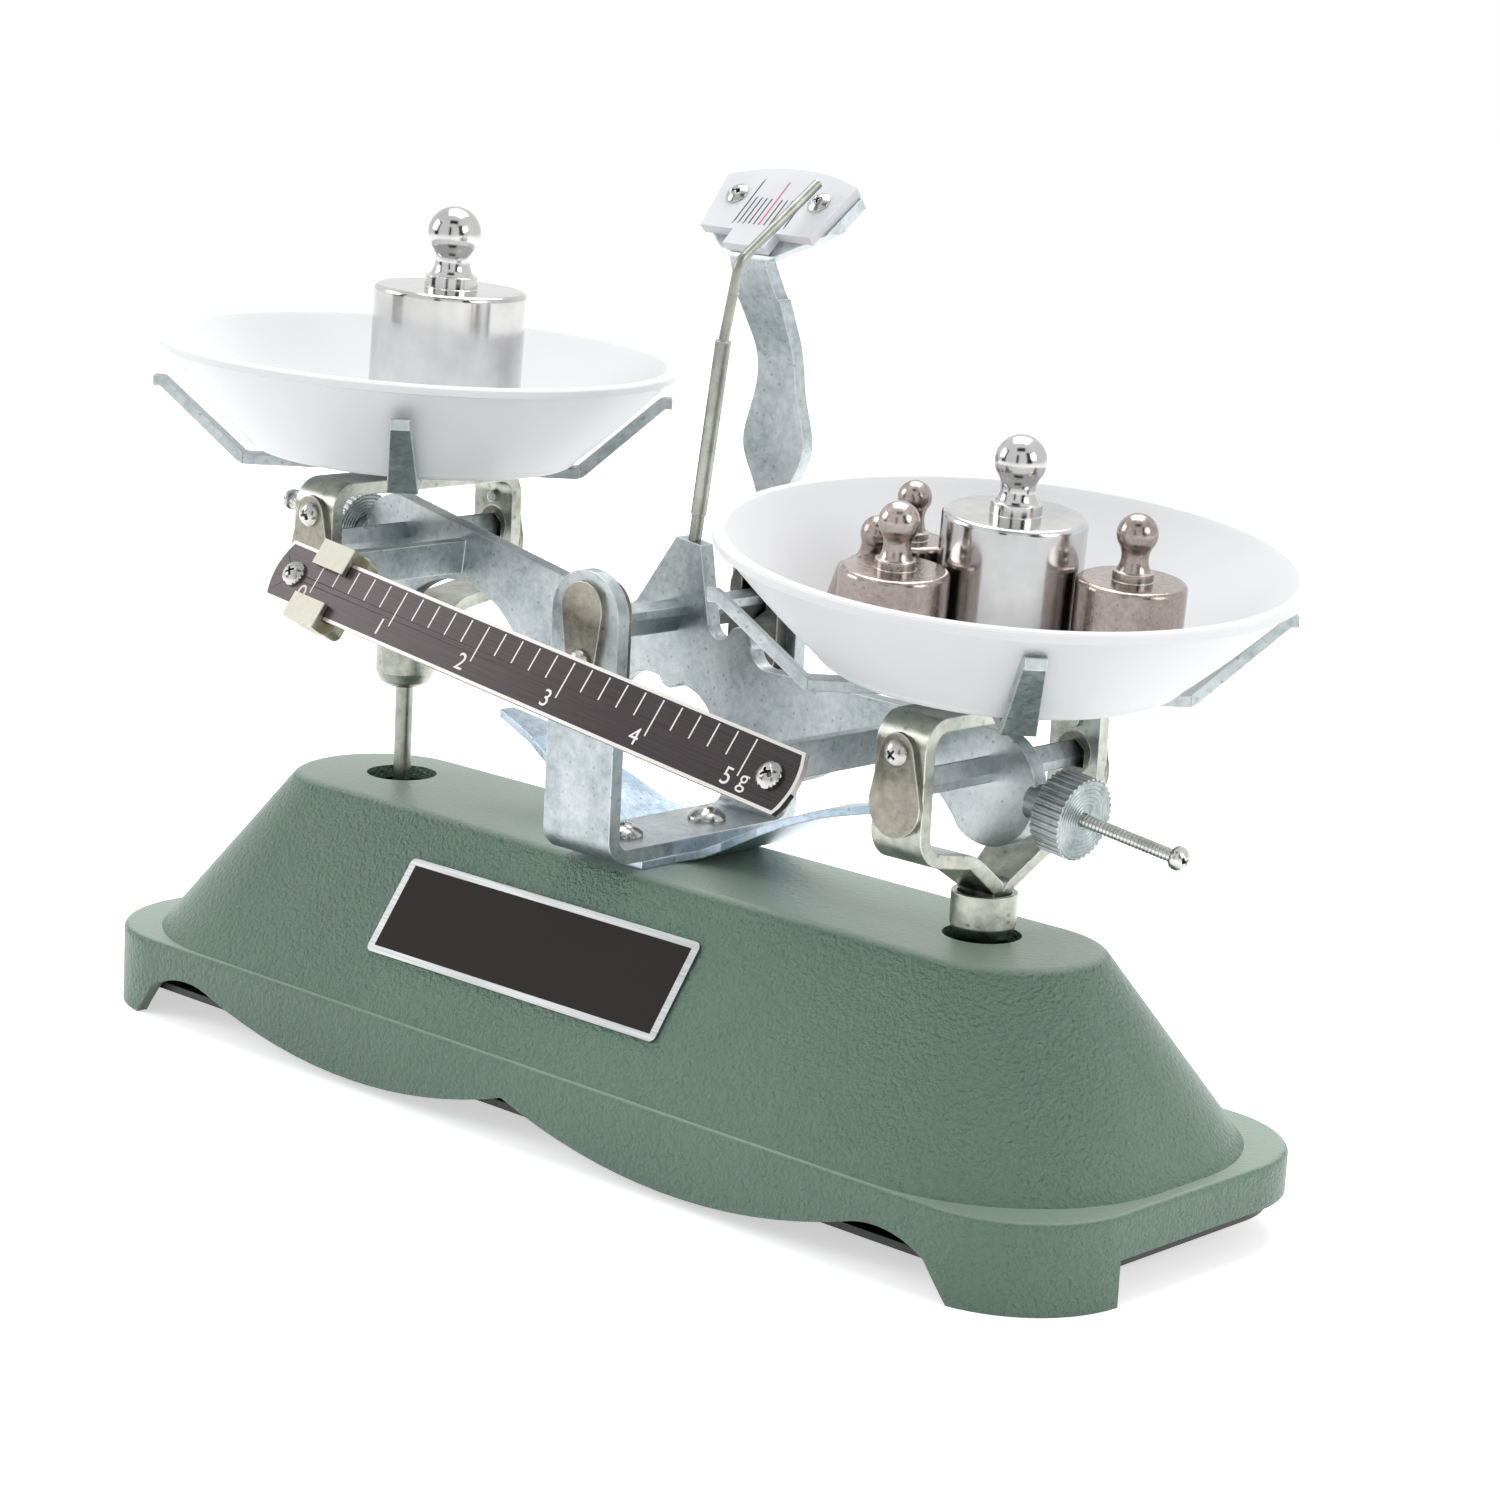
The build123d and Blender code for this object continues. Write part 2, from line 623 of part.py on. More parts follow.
side_knife_reach = carrier_reach - 0.3
for side, sign in sides:
    with BuildPart() as side_knife:
        with BuildSketch(beam_face.offset(-side_knife_reach)):
            Polygon(*[(sign * arm_length + x, -y) for x, y in knife_outline(side_knife_width, side_knife_height)],
                    align=None)
        extrude(amount=2 * side_knife_reach)
    side_knife.part.label = f"{side}_knife"
    export_step(side_knife.part, f"parts/{side}_knife.step")

# Pointer: a rod screwed into the tower, stepped down, then bent back over the dial
pointer_bend_v = 55.4
pointer_foot = Plane(origin=beam_face.from_local_coords(Vector(0, 9.5, 0)), x_dir=(0, 1, 0), z_dir=beam_face.y_dir)
pointer_bend = beam_face.from_local_coords(Vector(0, pointer_bend_v, -1.0))
pointer_tip = beam_face.from_local_coords(Vector(0, 66.6, -15.5))
with BuildPart() as pointer:
    with BuildSketch(pointer_foot):
        Circle(0.95)
    extrude(amount=8.3)
    with BuildSketch(pointer_foot.offset(8.3)):
        Circle(1.15)
    extrude(amount=26.0)
    with BuildLine() as rod:
        FilletPolyline(pointer_foot.from_local_coords(Vector(0, 0, 34.3)), pointer_bend, pointer_tip, radius=2.5)
    with BuildSketch(Plane(origin=rod.line @ 0, z_dir=rod.line % 0)):
        Circle(0.75)
    sweep(path=rod.line)

pointer.part.label = "pointer"
export_step(pointer.part, "parts/pointer.step")

# Ruler, reclined in front of the beam, with its two screws
with BuildPart() as ruler:
    with BuildSketch(ruler_face):
        RectangleRounded(ruler_length, ruler_width, 0.6)
        with Locations((-ruler_screw_x, 0), (ruler_screw_x, 0)):
            Circle(1.0, mode=Mode.SUBTRACT)
    extrude(amount=-ruler_thickness)

ruler.part.label = "ruler"
export_step(ruler.part, "parts/ruler.step")

with BuildPart() as ruler_screws:
    for sx in (-1, 1):
        seat = Plane(origin=ruler_face.from_local_coords(Vector(sx * ruler_screw_x, 0, 0)), x_dir=ruler_face.x_dir,
                     z_dir=ruler_face.z_dir)
        add(screw(seat, 2.0, 1.4, 1.0, ruler_thickness + tab_thickness))

ruler_screws.part.label = "ruler_screws"
export_step(ruler_screws.part, "parts/ruler_screws.step")

# Rider: a cast slider behind the ruler, hooked over both edges
rider_back = 2.2
rider_lip = 1.1
rider_gap = 0.15
hook_inner = ruler_width / 2 + rider_gap
rider_place = Plane(origin=ruler_face.from_local_coords(Vector(scale_zero_x + rider_width / 2 - 1.6, 0, 0)),
                    x_dir=ruler_face.x_dir, z_dir=ruler_face.z_dir)
with BuildPart() as rider:
    with BuildSketch(rider_place.offset(-ruler_thickness - rider_gap)):
        with Locations((1.0, 0)):
            RectangleRounded(rider_width + 2.0, 2 * hook_inner + 3.4, 1.2)
    extrude(amount=-rider_back)
    for sy in (-1, 1):
        with BuildSketch(rider_place.offset(-ruler_thickness - rider_gap)):
            with Locations((0, sy * (hook_inner + 0.85))):
                Rectangle(rider_width, 1.7)
        extrude(amount=ruler_thickness + 2 * rider_gap)
        with BuildSketch(rider_place.offset(rider_gap)):
            with Locations((0, sy * (hook_inner - 0.35))):
                Rectangle(rider_width, 4.1)
        extrude(amount=rider_lip)

rider.part.label = "rider"
export_step(rider.part, "parts/rider.step")

# Adjusting screws along the beam, each with a knurled nut
for side, sign, adjuster_end, nut_inner_x in (("left", -1, adjuster_left_end, nut_left_x),
                                              ("right", 1, adjuster_right_end, nut_right_x)):
    start = Plane(origin=beam_face.from_local_coords(Vector(sign * (lobe_centre_x + lobe_radius - 1.2), adjuster_v, 0)),
                  x_dir=(0, 1, 0), z_dir=beam_face.x_dir * sign)
    first = lobe_centre_x + lobe_radius - 1.2
    adjuster = screw(start.offset(adjuster_end - first), 1.7, 1.8, adjuster_radius, adjuster_end - first)
    adjuster.label = f"{side}_adjuster"
    export_step(adjuster, f"parts/{side}_adjuster.step")
    with BuildPart() as nut:
        with BuildSketch(start.offset(nut_inner_x - first)):
            Circle(nut_radius)
            with PolarLocations(nut_radius, nut_grooves):
                Rectangle(nut_groove, nut_groove, rotation=45, mode=Mode.SUBTRACT)
            Circle(adjuster_radius + running_gap, mode=Mode.SUBTRACT)
        extrude(amount=nut_thickness)
    nut.part.label = f"{side}_nut"
    export_step(nut.part, f"parts/{side}_nut.step")

# Pan carriers: strap frames on the end knives, with bearings, covers, cup and rod
strap_mid = carrier_reach - strap_thickness / 2
for side, sign in sides:
    level = level_place(sign)
    upright = Plane(origin=knife_place(sign), x_dir=(0, 1, 0), z_dir=(1, 0, 0))
    with BuildPart() as carrier:
        with BuildSketch(upright):
            with BuildLine():
                FilletPolyline((0, carrier_top - 1.0), (strap_mid, carrier_top - 1.0), (strap_mid, carrier_foot),
                               (8.5, carrier_foot - 1.8), (1.0, -18.4), (1.0, -23.6), radius=[3.5, 4.0, 3.0, 1.5])
            trace(line_width=strap_thickness)
            mirror(about=Plane.YZ)
        extrude(amount=strap_width / 2, both=True)
        with BuildSketch(level.offset(-30)):
            Polygon((-strap_width / 2, 10), (-strap_width / 2, -14), (-tongue_width / 2, -19.2), (-tongue_width / 2, -30),
                    (tongue_width / 2, -30), (tongue_width / 2, -19.2), (strap_width / 2, -14), (strap_width / 2, 10),
                    align=None)
        extrude(amount=60, mode=Mode.INTERSECT)
        with BuildSketch(level.offset(-30)):
            with Locations((0, -bearing_plug_drop)):
                Circle(bearing_plug_radius)
            with Locations((0, pear_screw_v)):
                Circle(0.9)
        extrude(amount=60, mode=Mode.SUBTRACT)
    carrier.part.label = f"{side}_carrier"
    export_step(carrier.part, f"parts/{side}_carrier.step")

    with BuildPart() as knife_bearings:
        for facing in (-1, 1):
            with BuildSketch(level.offset(strap_mid * facing - strap_thickness / 2)):
                with Locations((0, -bearing_plug_drop)):
                    Circle(bearing_plug_radius)
                Polygon((0, running_gap), (1.9, -1.3), (1.9, -3.9), (-1.9, -3.9), (-1.9, -1.3), align=None,
                        mode=Mode.SUBTRACT)
            extrude(amount=strap_thickness)
    knife_bearings.part.label = f"{side}_knife_bearings"
    export_step(knife_bearings.part, f"parts/{side}_knife_bearings.step")

    with BuildPart() as knife_covers:
        for facing in (-1, 1):
            outside = Plane(origin=level.origin + Vector(0, facing * carrier_reach, 0), x_dir=(-facing, 0, 0),
                            z_dir=(0, facing, 0))
            add(cover_outline(outside, pear_screw_v, 2.9, -4.4, 4.5, cover_thickness, pear_screw_v))
    knife_covers.part.label = f"{side}_knife_covers"
    export_step(knife_covers.part, f"parts/{side}_knife_covers.step")

    with BuildPart() as knife_cover_screws:
        for facing in (-1, 1):
            seat = Plane(origin=level.origin + Vector(0, facing * (carrier_reach + cover_thickness), pear_screw_v),
                         x_dir=(1, 0, 0), z_dir=(0, facing, 0))
            add(screw(seat, 1.9, 1.4, 0.9, cover_thickness + strap_thickness + 0.6))
    knife_cover_screws.part.label = f"{side}_knife_cover_screws"
    export_step(knife_cover_screws.part, f"parts/{side}_knife_cover_screws.step")

    inner = ferrule_radius - ferrule_wall
    ferrule = turned(flat_place(sign, 0), [
        (rod_radius, ferrule_bottom), (2.6, ferrule_bottom), (4.0, ferrule_bottom + 0.8), (ferrule_radius, ferrule_bottom + 2.4),
        (ferrule_radius, ferrule_top), (inner, ferrule_top), (inner, ferrule_bottom + 1.8),
        (inner - 0.9, ferrule_bottom + 1.2), (rod_radius, ferrule_bottom + 1.2)])
    ferrule.label = f"{side}_ferrule"
    export_step(ferrule, f"parts/{side}_ferrule.step")

    pin_drop = stay_pivot_z - beam_pivot_z
    with BuildPart() as rod:
        with BuildSketch(flat_place(sign, pin_drop - 2.2)):
            Circle(rod_radius)
        extrude(amount=-23.6 - pin_drop + 2.2)
        with BuildSketch(level.offset(-5)):
            with Locations((0, pin_drop)):
                Circle(rod_pin_radius)
        extrude(amount=10, mode=Mode.SUBTRACT)
    rod.part.label = f"{side}_rod"
    export_step(rod.part, f"parts/{side}_rod.step")

    with BuildPart() as rod_pin:
        with BuildSketch(level.offset(-stay_half_gap - stay_cheek - 0.5)):
            with Locations((0, pin_drop)):
                Circle(rod_pin_radius)
        extrude(amount=2 * (stay_half_gap + stay_cheek + 0.5))
    rod_pin.part.label = f"{side}_rod_pin"
    export_step(rod_pin.part, f"parts/{side}_rod_pin.step")

    # spider: a cross of four strips under the pan, each bent up and turned over at its tip
    spider_under = carrier_top + spider_boss
    with BuildPart() as spider:
        with BuildSketch(flat_place(sign, carrier_top)):
            Circle(4.0)
        extrude(amount=spider_boss)
        for quarter in range(4):
            heading = radians(45 + 90 * quarter)
            arm_view = Plane(origin=flat_place(sign, spider_under).origin, x_dir=(cos(heading), sin(heading), 0),
                             z_dir=(sin(heading), -cos(heading), 0))
            with BuildSketch(arm_view) as arm:
                with BuildLine():
                    half = spider_thickness / 2
                    FilletPolyline((0, half), (spider_flat_radius, half),
                                   (spider_tip_radius - 1.4, spider_tip_height), (spider_tip_radius, spider_tip_height),
                                   radius=[2.0, 0.9])
                trace(line_width=spider_thickness)
            with BuildSketch(Plane(origin=arm_view.origin, x_dir=arm_view.x_dir, z_dir=(0, 0, 1))) as plan:
                with Locations((spider_flat_radius / 2, 0)):
                    Rectangle(spider_flat_radius, spider_arm_width)
                Polygon((spider_flat_radius, -2.4), (spider_tip_radius, -spider_tip_width / 2),
                        (spider_tip_radius, spider_tip_width / 2), (spider_flat_radius, 2.4), align=None)
            arm_solid = extrude(arm.sketch, amount=6, both=True, mode=Mode.PRIVATE)
            plan_solid = extrude(plan.sketch, amount=30, mode=Mode.PRIVATE)
            add(arm_solid & plan_solid)
    spider.part.label = f"{side}_spider"
    export_step(spider.part, f"parts/{side}_spider.step")

# Stay: a channel inside the base that keeps both rods upright, on a pin in its hanger
with BuildPart() as stay:
    with BuildSketch(stay_face.offset(-stay_half_gap - stay_cheek)):
        SlotCenterToCenter(2 * arm_length, stay_height)
    extrude(amount=2 * (stay_half_gap + stay_cheek))
    with BuildSketch(stay_face.offset(-stay_half_gap)):
        with Locations((0, -stay_cheek)):
            Rectangle(3 * arm_length, stay_height)
        for sx in (-1, 1):
            with Locations((sx * (arm_length + 4), 0)):
                Rectangle(30, 2 * stay_height)
    extrude(amount=2 * stay_half_gap, mode=Mode.SUBTRACT)
    with BuildSketch(stay_face.offset(-10)):
        with Locations((-arm_length, 0), (arm_length, 0)):
            Circle(rod_pin_radius + running_gap)
        Circle(stay_pin_radius + running_gap)
    extrude(amount=20, mode=Mode.SUBTRACT)

stay.part.label = "stay"
export_step(stay.part, "parts/stay.step")

hanger_half = stay_half_gap + stay_cheek + 0.4 + hanger_wall / 2
hanger_mid_z = hanger_top - hanger_wall / 2
with BuildPart() as stay_hanger:
    with BuildSketch(side_view):
        with BuildLine():
            FilletPolyline((base_shift_y - hanger_reach, hanger_mid_z), (-hanger_half, hanger_mid_z),
                           (-hanger_half, stay_pivot_z - 4.8), (hanger_half, stay_pivot_z - 4.8),
                           (hanger_half, hanger_mid_z), (base_shift_y + hanger_reach, hanger_mid_z), radius=1.2)
        trace(line_width=hanger_wall)
    extrude(amount=5.5, both=True)
    with BuildSketch(Plane.XY.offset(hanger_top + 1)):
        with Locations(*bracket_screw_spots):
            Circle(bracket_screw_radius)
    extrude(amount=-hanger_wall - 2, mode=Mode.SUBTRACT)
    with BuildSketch(front_face.offset(-20)):
        with Locations((0, stay_pivot_z - beam_pivot_z)):
            Circle(stay_pin_radius)
    extrude(amount=40, mode=Mode.SUBTRACT)

stay_hanger.part.label = "stay_hanger"
export_step(stay_hanger.part, "parts/stay_hanger.step")

with BuildPart() as stay_pin:
    pin_half = hanger_half + hanger_wall / 2 + 0.8
    with BuildSketch(front_face.offset(-pin_half)):
        with Locations((0, stay_pivot_z - beam_pivot_z)):
            Circle(stay_pin_radius)
    extrude(amount=2 * pin_half)

stay_pin.part.label = "stay_pin"
export_step(stay_pin.part, "parts/stay_pin.step")


def pan_frame(sign):
    """The plane of a pan's underside, tilted so that its low edge stays on the spider."""
    heading = radians(left_pan_heading if sign < 0 else right_pan_heading)
    fall = radians(left_pan_tilt if sign < 0 else right_pan_tilt)
    seat = flat_place(sign, carrier_top + spider_boss + spider_thickness + seat_gap).origin
    normal = Vector(sin(fall) * cos(heading), sin(fall) * sin(heading), cos(fall))
    across = Vector(-sin(heading), cos(heading), 0)
    return Plane(origin=seat + Vector(0, 0, pan_floor_radius * sin(fall)), x_dir=across, z_dir=normal)


def weight(place, radius, height, ball_radius, ball_rise):
    """A turned weight with a waisted neck and a ball to lift it by, standing on the place."""
    ball_centre = height + ball_rise
    foot = height + 0.45 * ball_radius
    low_ball = (0.8 * ball_radius, ball_centre - 0.6 * ball_radius)
    waist = (0.66 * ball_radius, (foot + low_ball[1]) / 2)
    section = Plane(origin=place.origin, x_dir=place.x_dir, z_dir=-place.y_dir)
    with BuildPart() as piece:
        with BuildSketch(section):
            with BuildLine():
                Polyline((0, 0), (radius - weight_edge, 0), (radius, weight_edge), (radius, height - weight_edge))
                ThreePointArc((radius, height - weight_edge),
                              (radius - 0.3 * weight_edge, height - 0.3 * weight_edge), (radius - weight_edge, height))
                Polyline((radius - weight_edge, height), (ball_radius, height), (0.98 * ball_radius, foot),
                         (0.86 * ball_radius, foot))
                ThreePointArc((0.86 * ball_radius, foot), waist, low_ball)
                ThreePointArc(low_ball, (ball_radius, ball_centre), (0, ball_centre + ball_radius))
                Line((0, ball_centre + ball_radius), (0, 0))
            make_face()
        revolve(axis=Axis(place.origin, place.z_dir))
    return piece.part


# Pans: shallow dishes pressed from milky plastic, standing loose on the spiders
corner = 1.2
for side, sign in sides:
    frame = pan_frame(sign)
    section = Plane(origin=frame.origin, x_dir=frame.x_dir, z_dir=-frame.y_dir)
    with BuildPart() as pan:
        with BuildSketch(section):
            with BuildLine():
                Line((0, 0), (pan_floor_radius - corner, 0))
                ThreePointArc((pan_floor_radius - corner, 0), (pan_floor_radius, 0.3), (pan_floor_radius + 0.9, corner))
                ThreePointArc((pan_floor_radius + 0.9, corner), (pan_mid_radius, pan_depth / 2),
                              (pan_radius - lip, pan_depth - 1.6))
                Polyline((pan_radius - lip, pan_depth - 1.6), (pan_radius, pan_depth - 1.3), (pan_radius, pan_depth - 0.3),
                         (pan_radius - 0.3, pan_depth), (pan_radius - lip - pan_wall / 2, pan_depth))
                ThreePointArc((pan_radius - lip - pan_wall / 2, pan_depth),
                              (pan_mid_radius - pan_wall / 2, pan_depth / 2 + 0.9), (pan_floor_radius - 0.3, pan_wall))
                Polyline((pan_floor_radius - 0.3, pan_wall), (0, pan_wall), (0, 0))
            make_face()
        revolve(axis=Axis(frame.origin, frame.z_dir))
    pan.part.label = f"{side}_pan"
    export_step(pan.part, f"parts/{side}_pan.step")

# Weights: name, side, place beside the pan's middle, radius, body height, ball radius, ball above
# body, lean. The smallest leans on the wall of the pan.
weights = (
    ("weight_large", -1, (0.0, 6.0), 12.0, 24.4, 4.2, 8.5, 0),
    ("weight_half", 1, (-2.7, 3.5), 10.1, 19.0, 3.65, 7.3, 0),
    ("weight_fifth_rear", 1, (15.0, 7.8), 7.6, 13.2, 2.85, 6.4, 0),
    ("weight_fifth_front", 1, (-8.4, -14.2), 7.6, 12.4, 2.85, 6.4, 0),
    ("weight_tenth", 1, (-18.6, 0.9), 5.5, 12.0, 2.4, 5.9, 0),
    ("weight_twentieth", 1, (-20.6, -9.2), 3.8, 8.0, 2.45, 5.7, 15),
)
for name, sign, (off_x, off_y), radius, height, ball, ball_rise, lean in weights:
    frame = pan_frame(sign)
    spot = frame.to_local_coords(Vector(knife_place(sign)[0] + off_x, off_y, frame.origin.Z))
    lift = pan_wall + seat_gap + radius * sin(radians(lean))
    inward = (frame.origin - frame.from_local_coords(Vector(spot.X, spot.Y, 0))).normalized()
    upright = frame.z_dir * cos(radians(lean)) + inward * sin(radians(lean))
    stand = Plane(origin=frame.from_local_coords(Vector(spot.X, spot.Y, lift)), x_dir=frame.z_dir.cross(inward),
                  z_dir=upright)
    piece = weight(stand, radius, height, ball, ball_rise)
    piece.label = name
    export_step(piece, f"parts/{name}.step")
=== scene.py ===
import bpy
from math import cos, radians, sin
from mathutils import Matrix, Vector


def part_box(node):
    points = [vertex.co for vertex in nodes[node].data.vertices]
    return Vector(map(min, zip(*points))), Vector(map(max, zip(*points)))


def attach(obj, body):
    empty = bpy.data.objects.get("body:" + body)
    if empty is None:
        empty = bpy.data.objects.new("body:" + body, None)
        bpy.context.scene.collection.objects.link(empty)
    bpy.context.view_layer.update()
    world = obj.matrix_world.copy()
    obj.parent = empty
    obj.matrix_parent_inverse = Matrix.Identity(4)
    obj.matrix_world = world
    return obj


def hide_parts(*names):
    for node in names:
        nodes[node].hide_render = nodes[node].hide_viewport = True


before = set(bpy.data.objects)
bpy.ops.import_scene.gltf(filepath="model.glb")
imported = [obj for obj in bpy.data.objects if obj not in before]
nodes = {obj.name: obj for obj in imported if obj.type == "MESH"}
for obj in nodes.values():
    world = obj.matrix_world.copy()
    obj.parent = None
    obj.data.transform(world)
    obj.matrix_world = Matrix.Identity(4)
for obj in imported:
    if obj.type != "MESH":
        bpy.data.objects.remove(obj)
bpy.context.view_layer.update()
MM = 0.001

# Base shell: one pressed and cast hood on a scalloped skirt, stove enamelled in grey green.
# The enamel has a fine orange peel on the slopes and lies smoother on the flat top, where it is painted paler
# as a painted highlight from the light above.


def linear(code):
    """An sRGB hex colour as linear red, green, blue and alpha."""
    parts = [int(code[i:i + 2], 16) / 255 for i in (1, 3, 5)]
    return tuple(c / 12.92 if c <= 0.04045 else ((c + 0.055) / 1.055) ** 2.4 for c in parts) + (1.0,)


def add_node(tree, kind, inputs=(), **settings):
    """Adds a shader node, sets its settings, and fills its inputs with values or with other sockets."""
    made = tree.nodes.new("ShaderNode" + kind)
    for key, value in settings.items():
        setattr(made, key, value)
    for key, value in dict(inputs).items():
        if isinstance(value, bpy.types.NodeSocket):
            tree.links.new(value, made.inputs[key])
        else:
            made.inputs[key].default_value = value
    return made


def new_material(name):
    """An empty material with its output node, and the object's own coordinates."""
    material = bpy.data.materials.new(name)
    material.use_nodes = True
    tree = material.node_tree
    tree.nodes.clear()
    output = add_node(tree, "OutputMaterial")
    place = add_node(tree, "TexCoord").outputs["Object"]
    return material, tree, output, place


def dress(piece, material):
    """Gives a piece one material all over."""
    piece.data.materials.clear()
    piece.data.materials.append(material)


peel_scale, peel_height = 1500, 0.9
stove_enamel, tree, output, place = new_material("stove_enamel")
peel = add_node(tree, "TexNoise", {"Vector": place, "Scale": peel_scale, "Detail": 2.5, "Roughness": 0.55})
cloud = add_node(tree, "TexNoise", {"Vector": place, "Scale": 30, "Detail": 2})
facing = add_node(tree, "SeparateXYZ", {"Vector": add_node(tree, "NewGeometry").outputs["Normal"]})
flat_top_lit_and_smooth = add_node(tree, "MapRange", {"Value": facing.outputs["Z"], "From Min": 0.75, "From Max": 0.98})
slope_tone = add_node(tree, "Mix", {"Factor": cloud.outputs["Fac"], "A": linear("#5f7b6c"),
                                    "B": linear("#6c8777")}, data_type="RGBA")
# Painted highlight: faces turned upward are painted paler than the slopes; the same mask also makes the peel
# shallower there.
tone = add_node(tree, "Mix", {"Factor": flat_top_lit_and_smooth.outputs["Result"], "A": slope_tone.outputs["Result"],
                              "B": linear("#9aaca0")}, data_type="RGBA")
peel_depth = add_node(tree, "MapRange", {"Value": flat_top_lit_and_smooth.outputs["Result"], "To Min": 1.0, "To Max": 0.25})
peel_bump = add_node(tree, "Bump", {"Height": peel.outputs["Fac"], "Strength": peel_depth.outputs["Result"],
                                    "Distance": peel_height * MM})
shader = add_node(tree, "BsdfPrincipled", {"Base Color": tone.outputs["Result"], "Roughness": 0.32,
                                           "IOR": 1.5, "Normal": peel_bump.outputs["Normal"]})
tree.links.new(shader.outputs[0], output.inputs["Surface"])
dress(nodes["base_shell"], stove_enamel)

# Bottom plate: a thin sheet let into the skirt from below and held by four screws.
# It is dipped in black lacquer.
black_lacquer, tree, output, place = new_material("black_lacquer")
speck = add_node(tree, "TexNoise", {"Vector": place, "Scale": 700, "Detail": 3})
shine = add_node(tree, "MapRange", {"Value": speck.outputs["Fac"], "To Min": 0.3, "To Max": 0.5})
shader = add_node(tree, "BsdfPrincipled", {"Base Color": linear("#16181a"),
                                           "Roughness": shine.outputs["Result"],
                                           "IOR": 1.5})
tree.links.new(shader.outputs[0], output.inputs["Surface"])
dress(nodes["bottom_plate"], black_lacquer)

# Name plate: a thin aluminium plate stuck on the front slope, printed black inside a bare rim.
# It stays empty.
plate_half_x, plate_half_y = 30.45, 7.95
plate_rim_x, plate_rim_y = 1.3, 1.1
plate_origin = (Vector(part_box("name_plate")[0]) + Vector(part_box("name_plate")[1])) / 2
plate_slope = -0.9589
name_plate_finish, tree, output, place = new_material("printed_aluminium")
on_plate = add_node(tree, "VectorMath", {0: place, 1: plate_origin}, operation="SUBTRACT")
along = add_node(tree, "VectorRotate", {"Vector": on_plate.outputs[0], "Angle": plate_slope},
                 rotation_type="X_AXIS")
axes = add_node(tree, "SeparateXYZ", {"Vector": along.outputs[0]})
far_x = add_node(tree, "Math", {0: axes.outputs["X"]}, operation="ABSOLUTE")
far_y = add_node(tree, "Math", {0: axes.outputs["Y"]}, operation="ABSOLUTE")
in_x = add_node(tree, "Math", {0: far_x.outputs[0], 1: (plate_half_x - plate_rim_x) * MM},
                operation="LESS_THAN")
in_y = add_node(tree, "Math", {0: far_y.outputs[0], 1: (plate_half_y - plate_rim_y) * MM},
                operation="LESS_THAN")
inside = add_node(tree, "Math", {0: in_x.outputs[0], 1: in_y.outputs[0]}, operation="MULTIPLY")
grain = add_node(tree, "Mapping", {"Vector": along.outputs[0], "Scale": (60, 3000, 60)})
brush = add_node(tree, "TexNoise", {"Vector": grain.outputs[0], "Scale": 1, "Detail": 2})
silver = add_node(tree, "Mix", {"Factor": brush.outputs["Fac"], "A": linear("#5f6162"),
                                "B": linear("#a4a6a6")},
                  data_type="RGBA")
colour = add_node(tree, "Mix", {"Factor": inside.outputs[0], "A": silver.outputs["Result"],
                                "B": linear("#221d1b")},
                  data_type="RGBA")
bare = add_node(tree, "Math", {0: 1.0, 1: inside.outputs[0]}, operation="SUBTRACT")
rough = add_node(tree, "MapRange", {"Value": inside.outputs[0], "To Min": 0.32, "To Max": 0.55})
shader = add_node(tree, "BsdfPrincipled", {"Base Color": colour.outputs["Result"],
                                           "Metallic": bare.outputs[0],
                                           "Roughness": rough.outputs["Result"], "Specular IOR Level": 0.15})
tree.links.new(shader.outputs[0], output.inputs["Surface"])
dress(nodes["name_plate"], name_plate_finish)

# Sheet steel parts: bracket with its post, beam and knives, stay with its hanger, and spiders.
# Stamped and bent from strip, then zinc plated: bluish grey, softly mottled, with small dark pits.
# The covers over the bearings are the same sheet in an older, browner nickel.


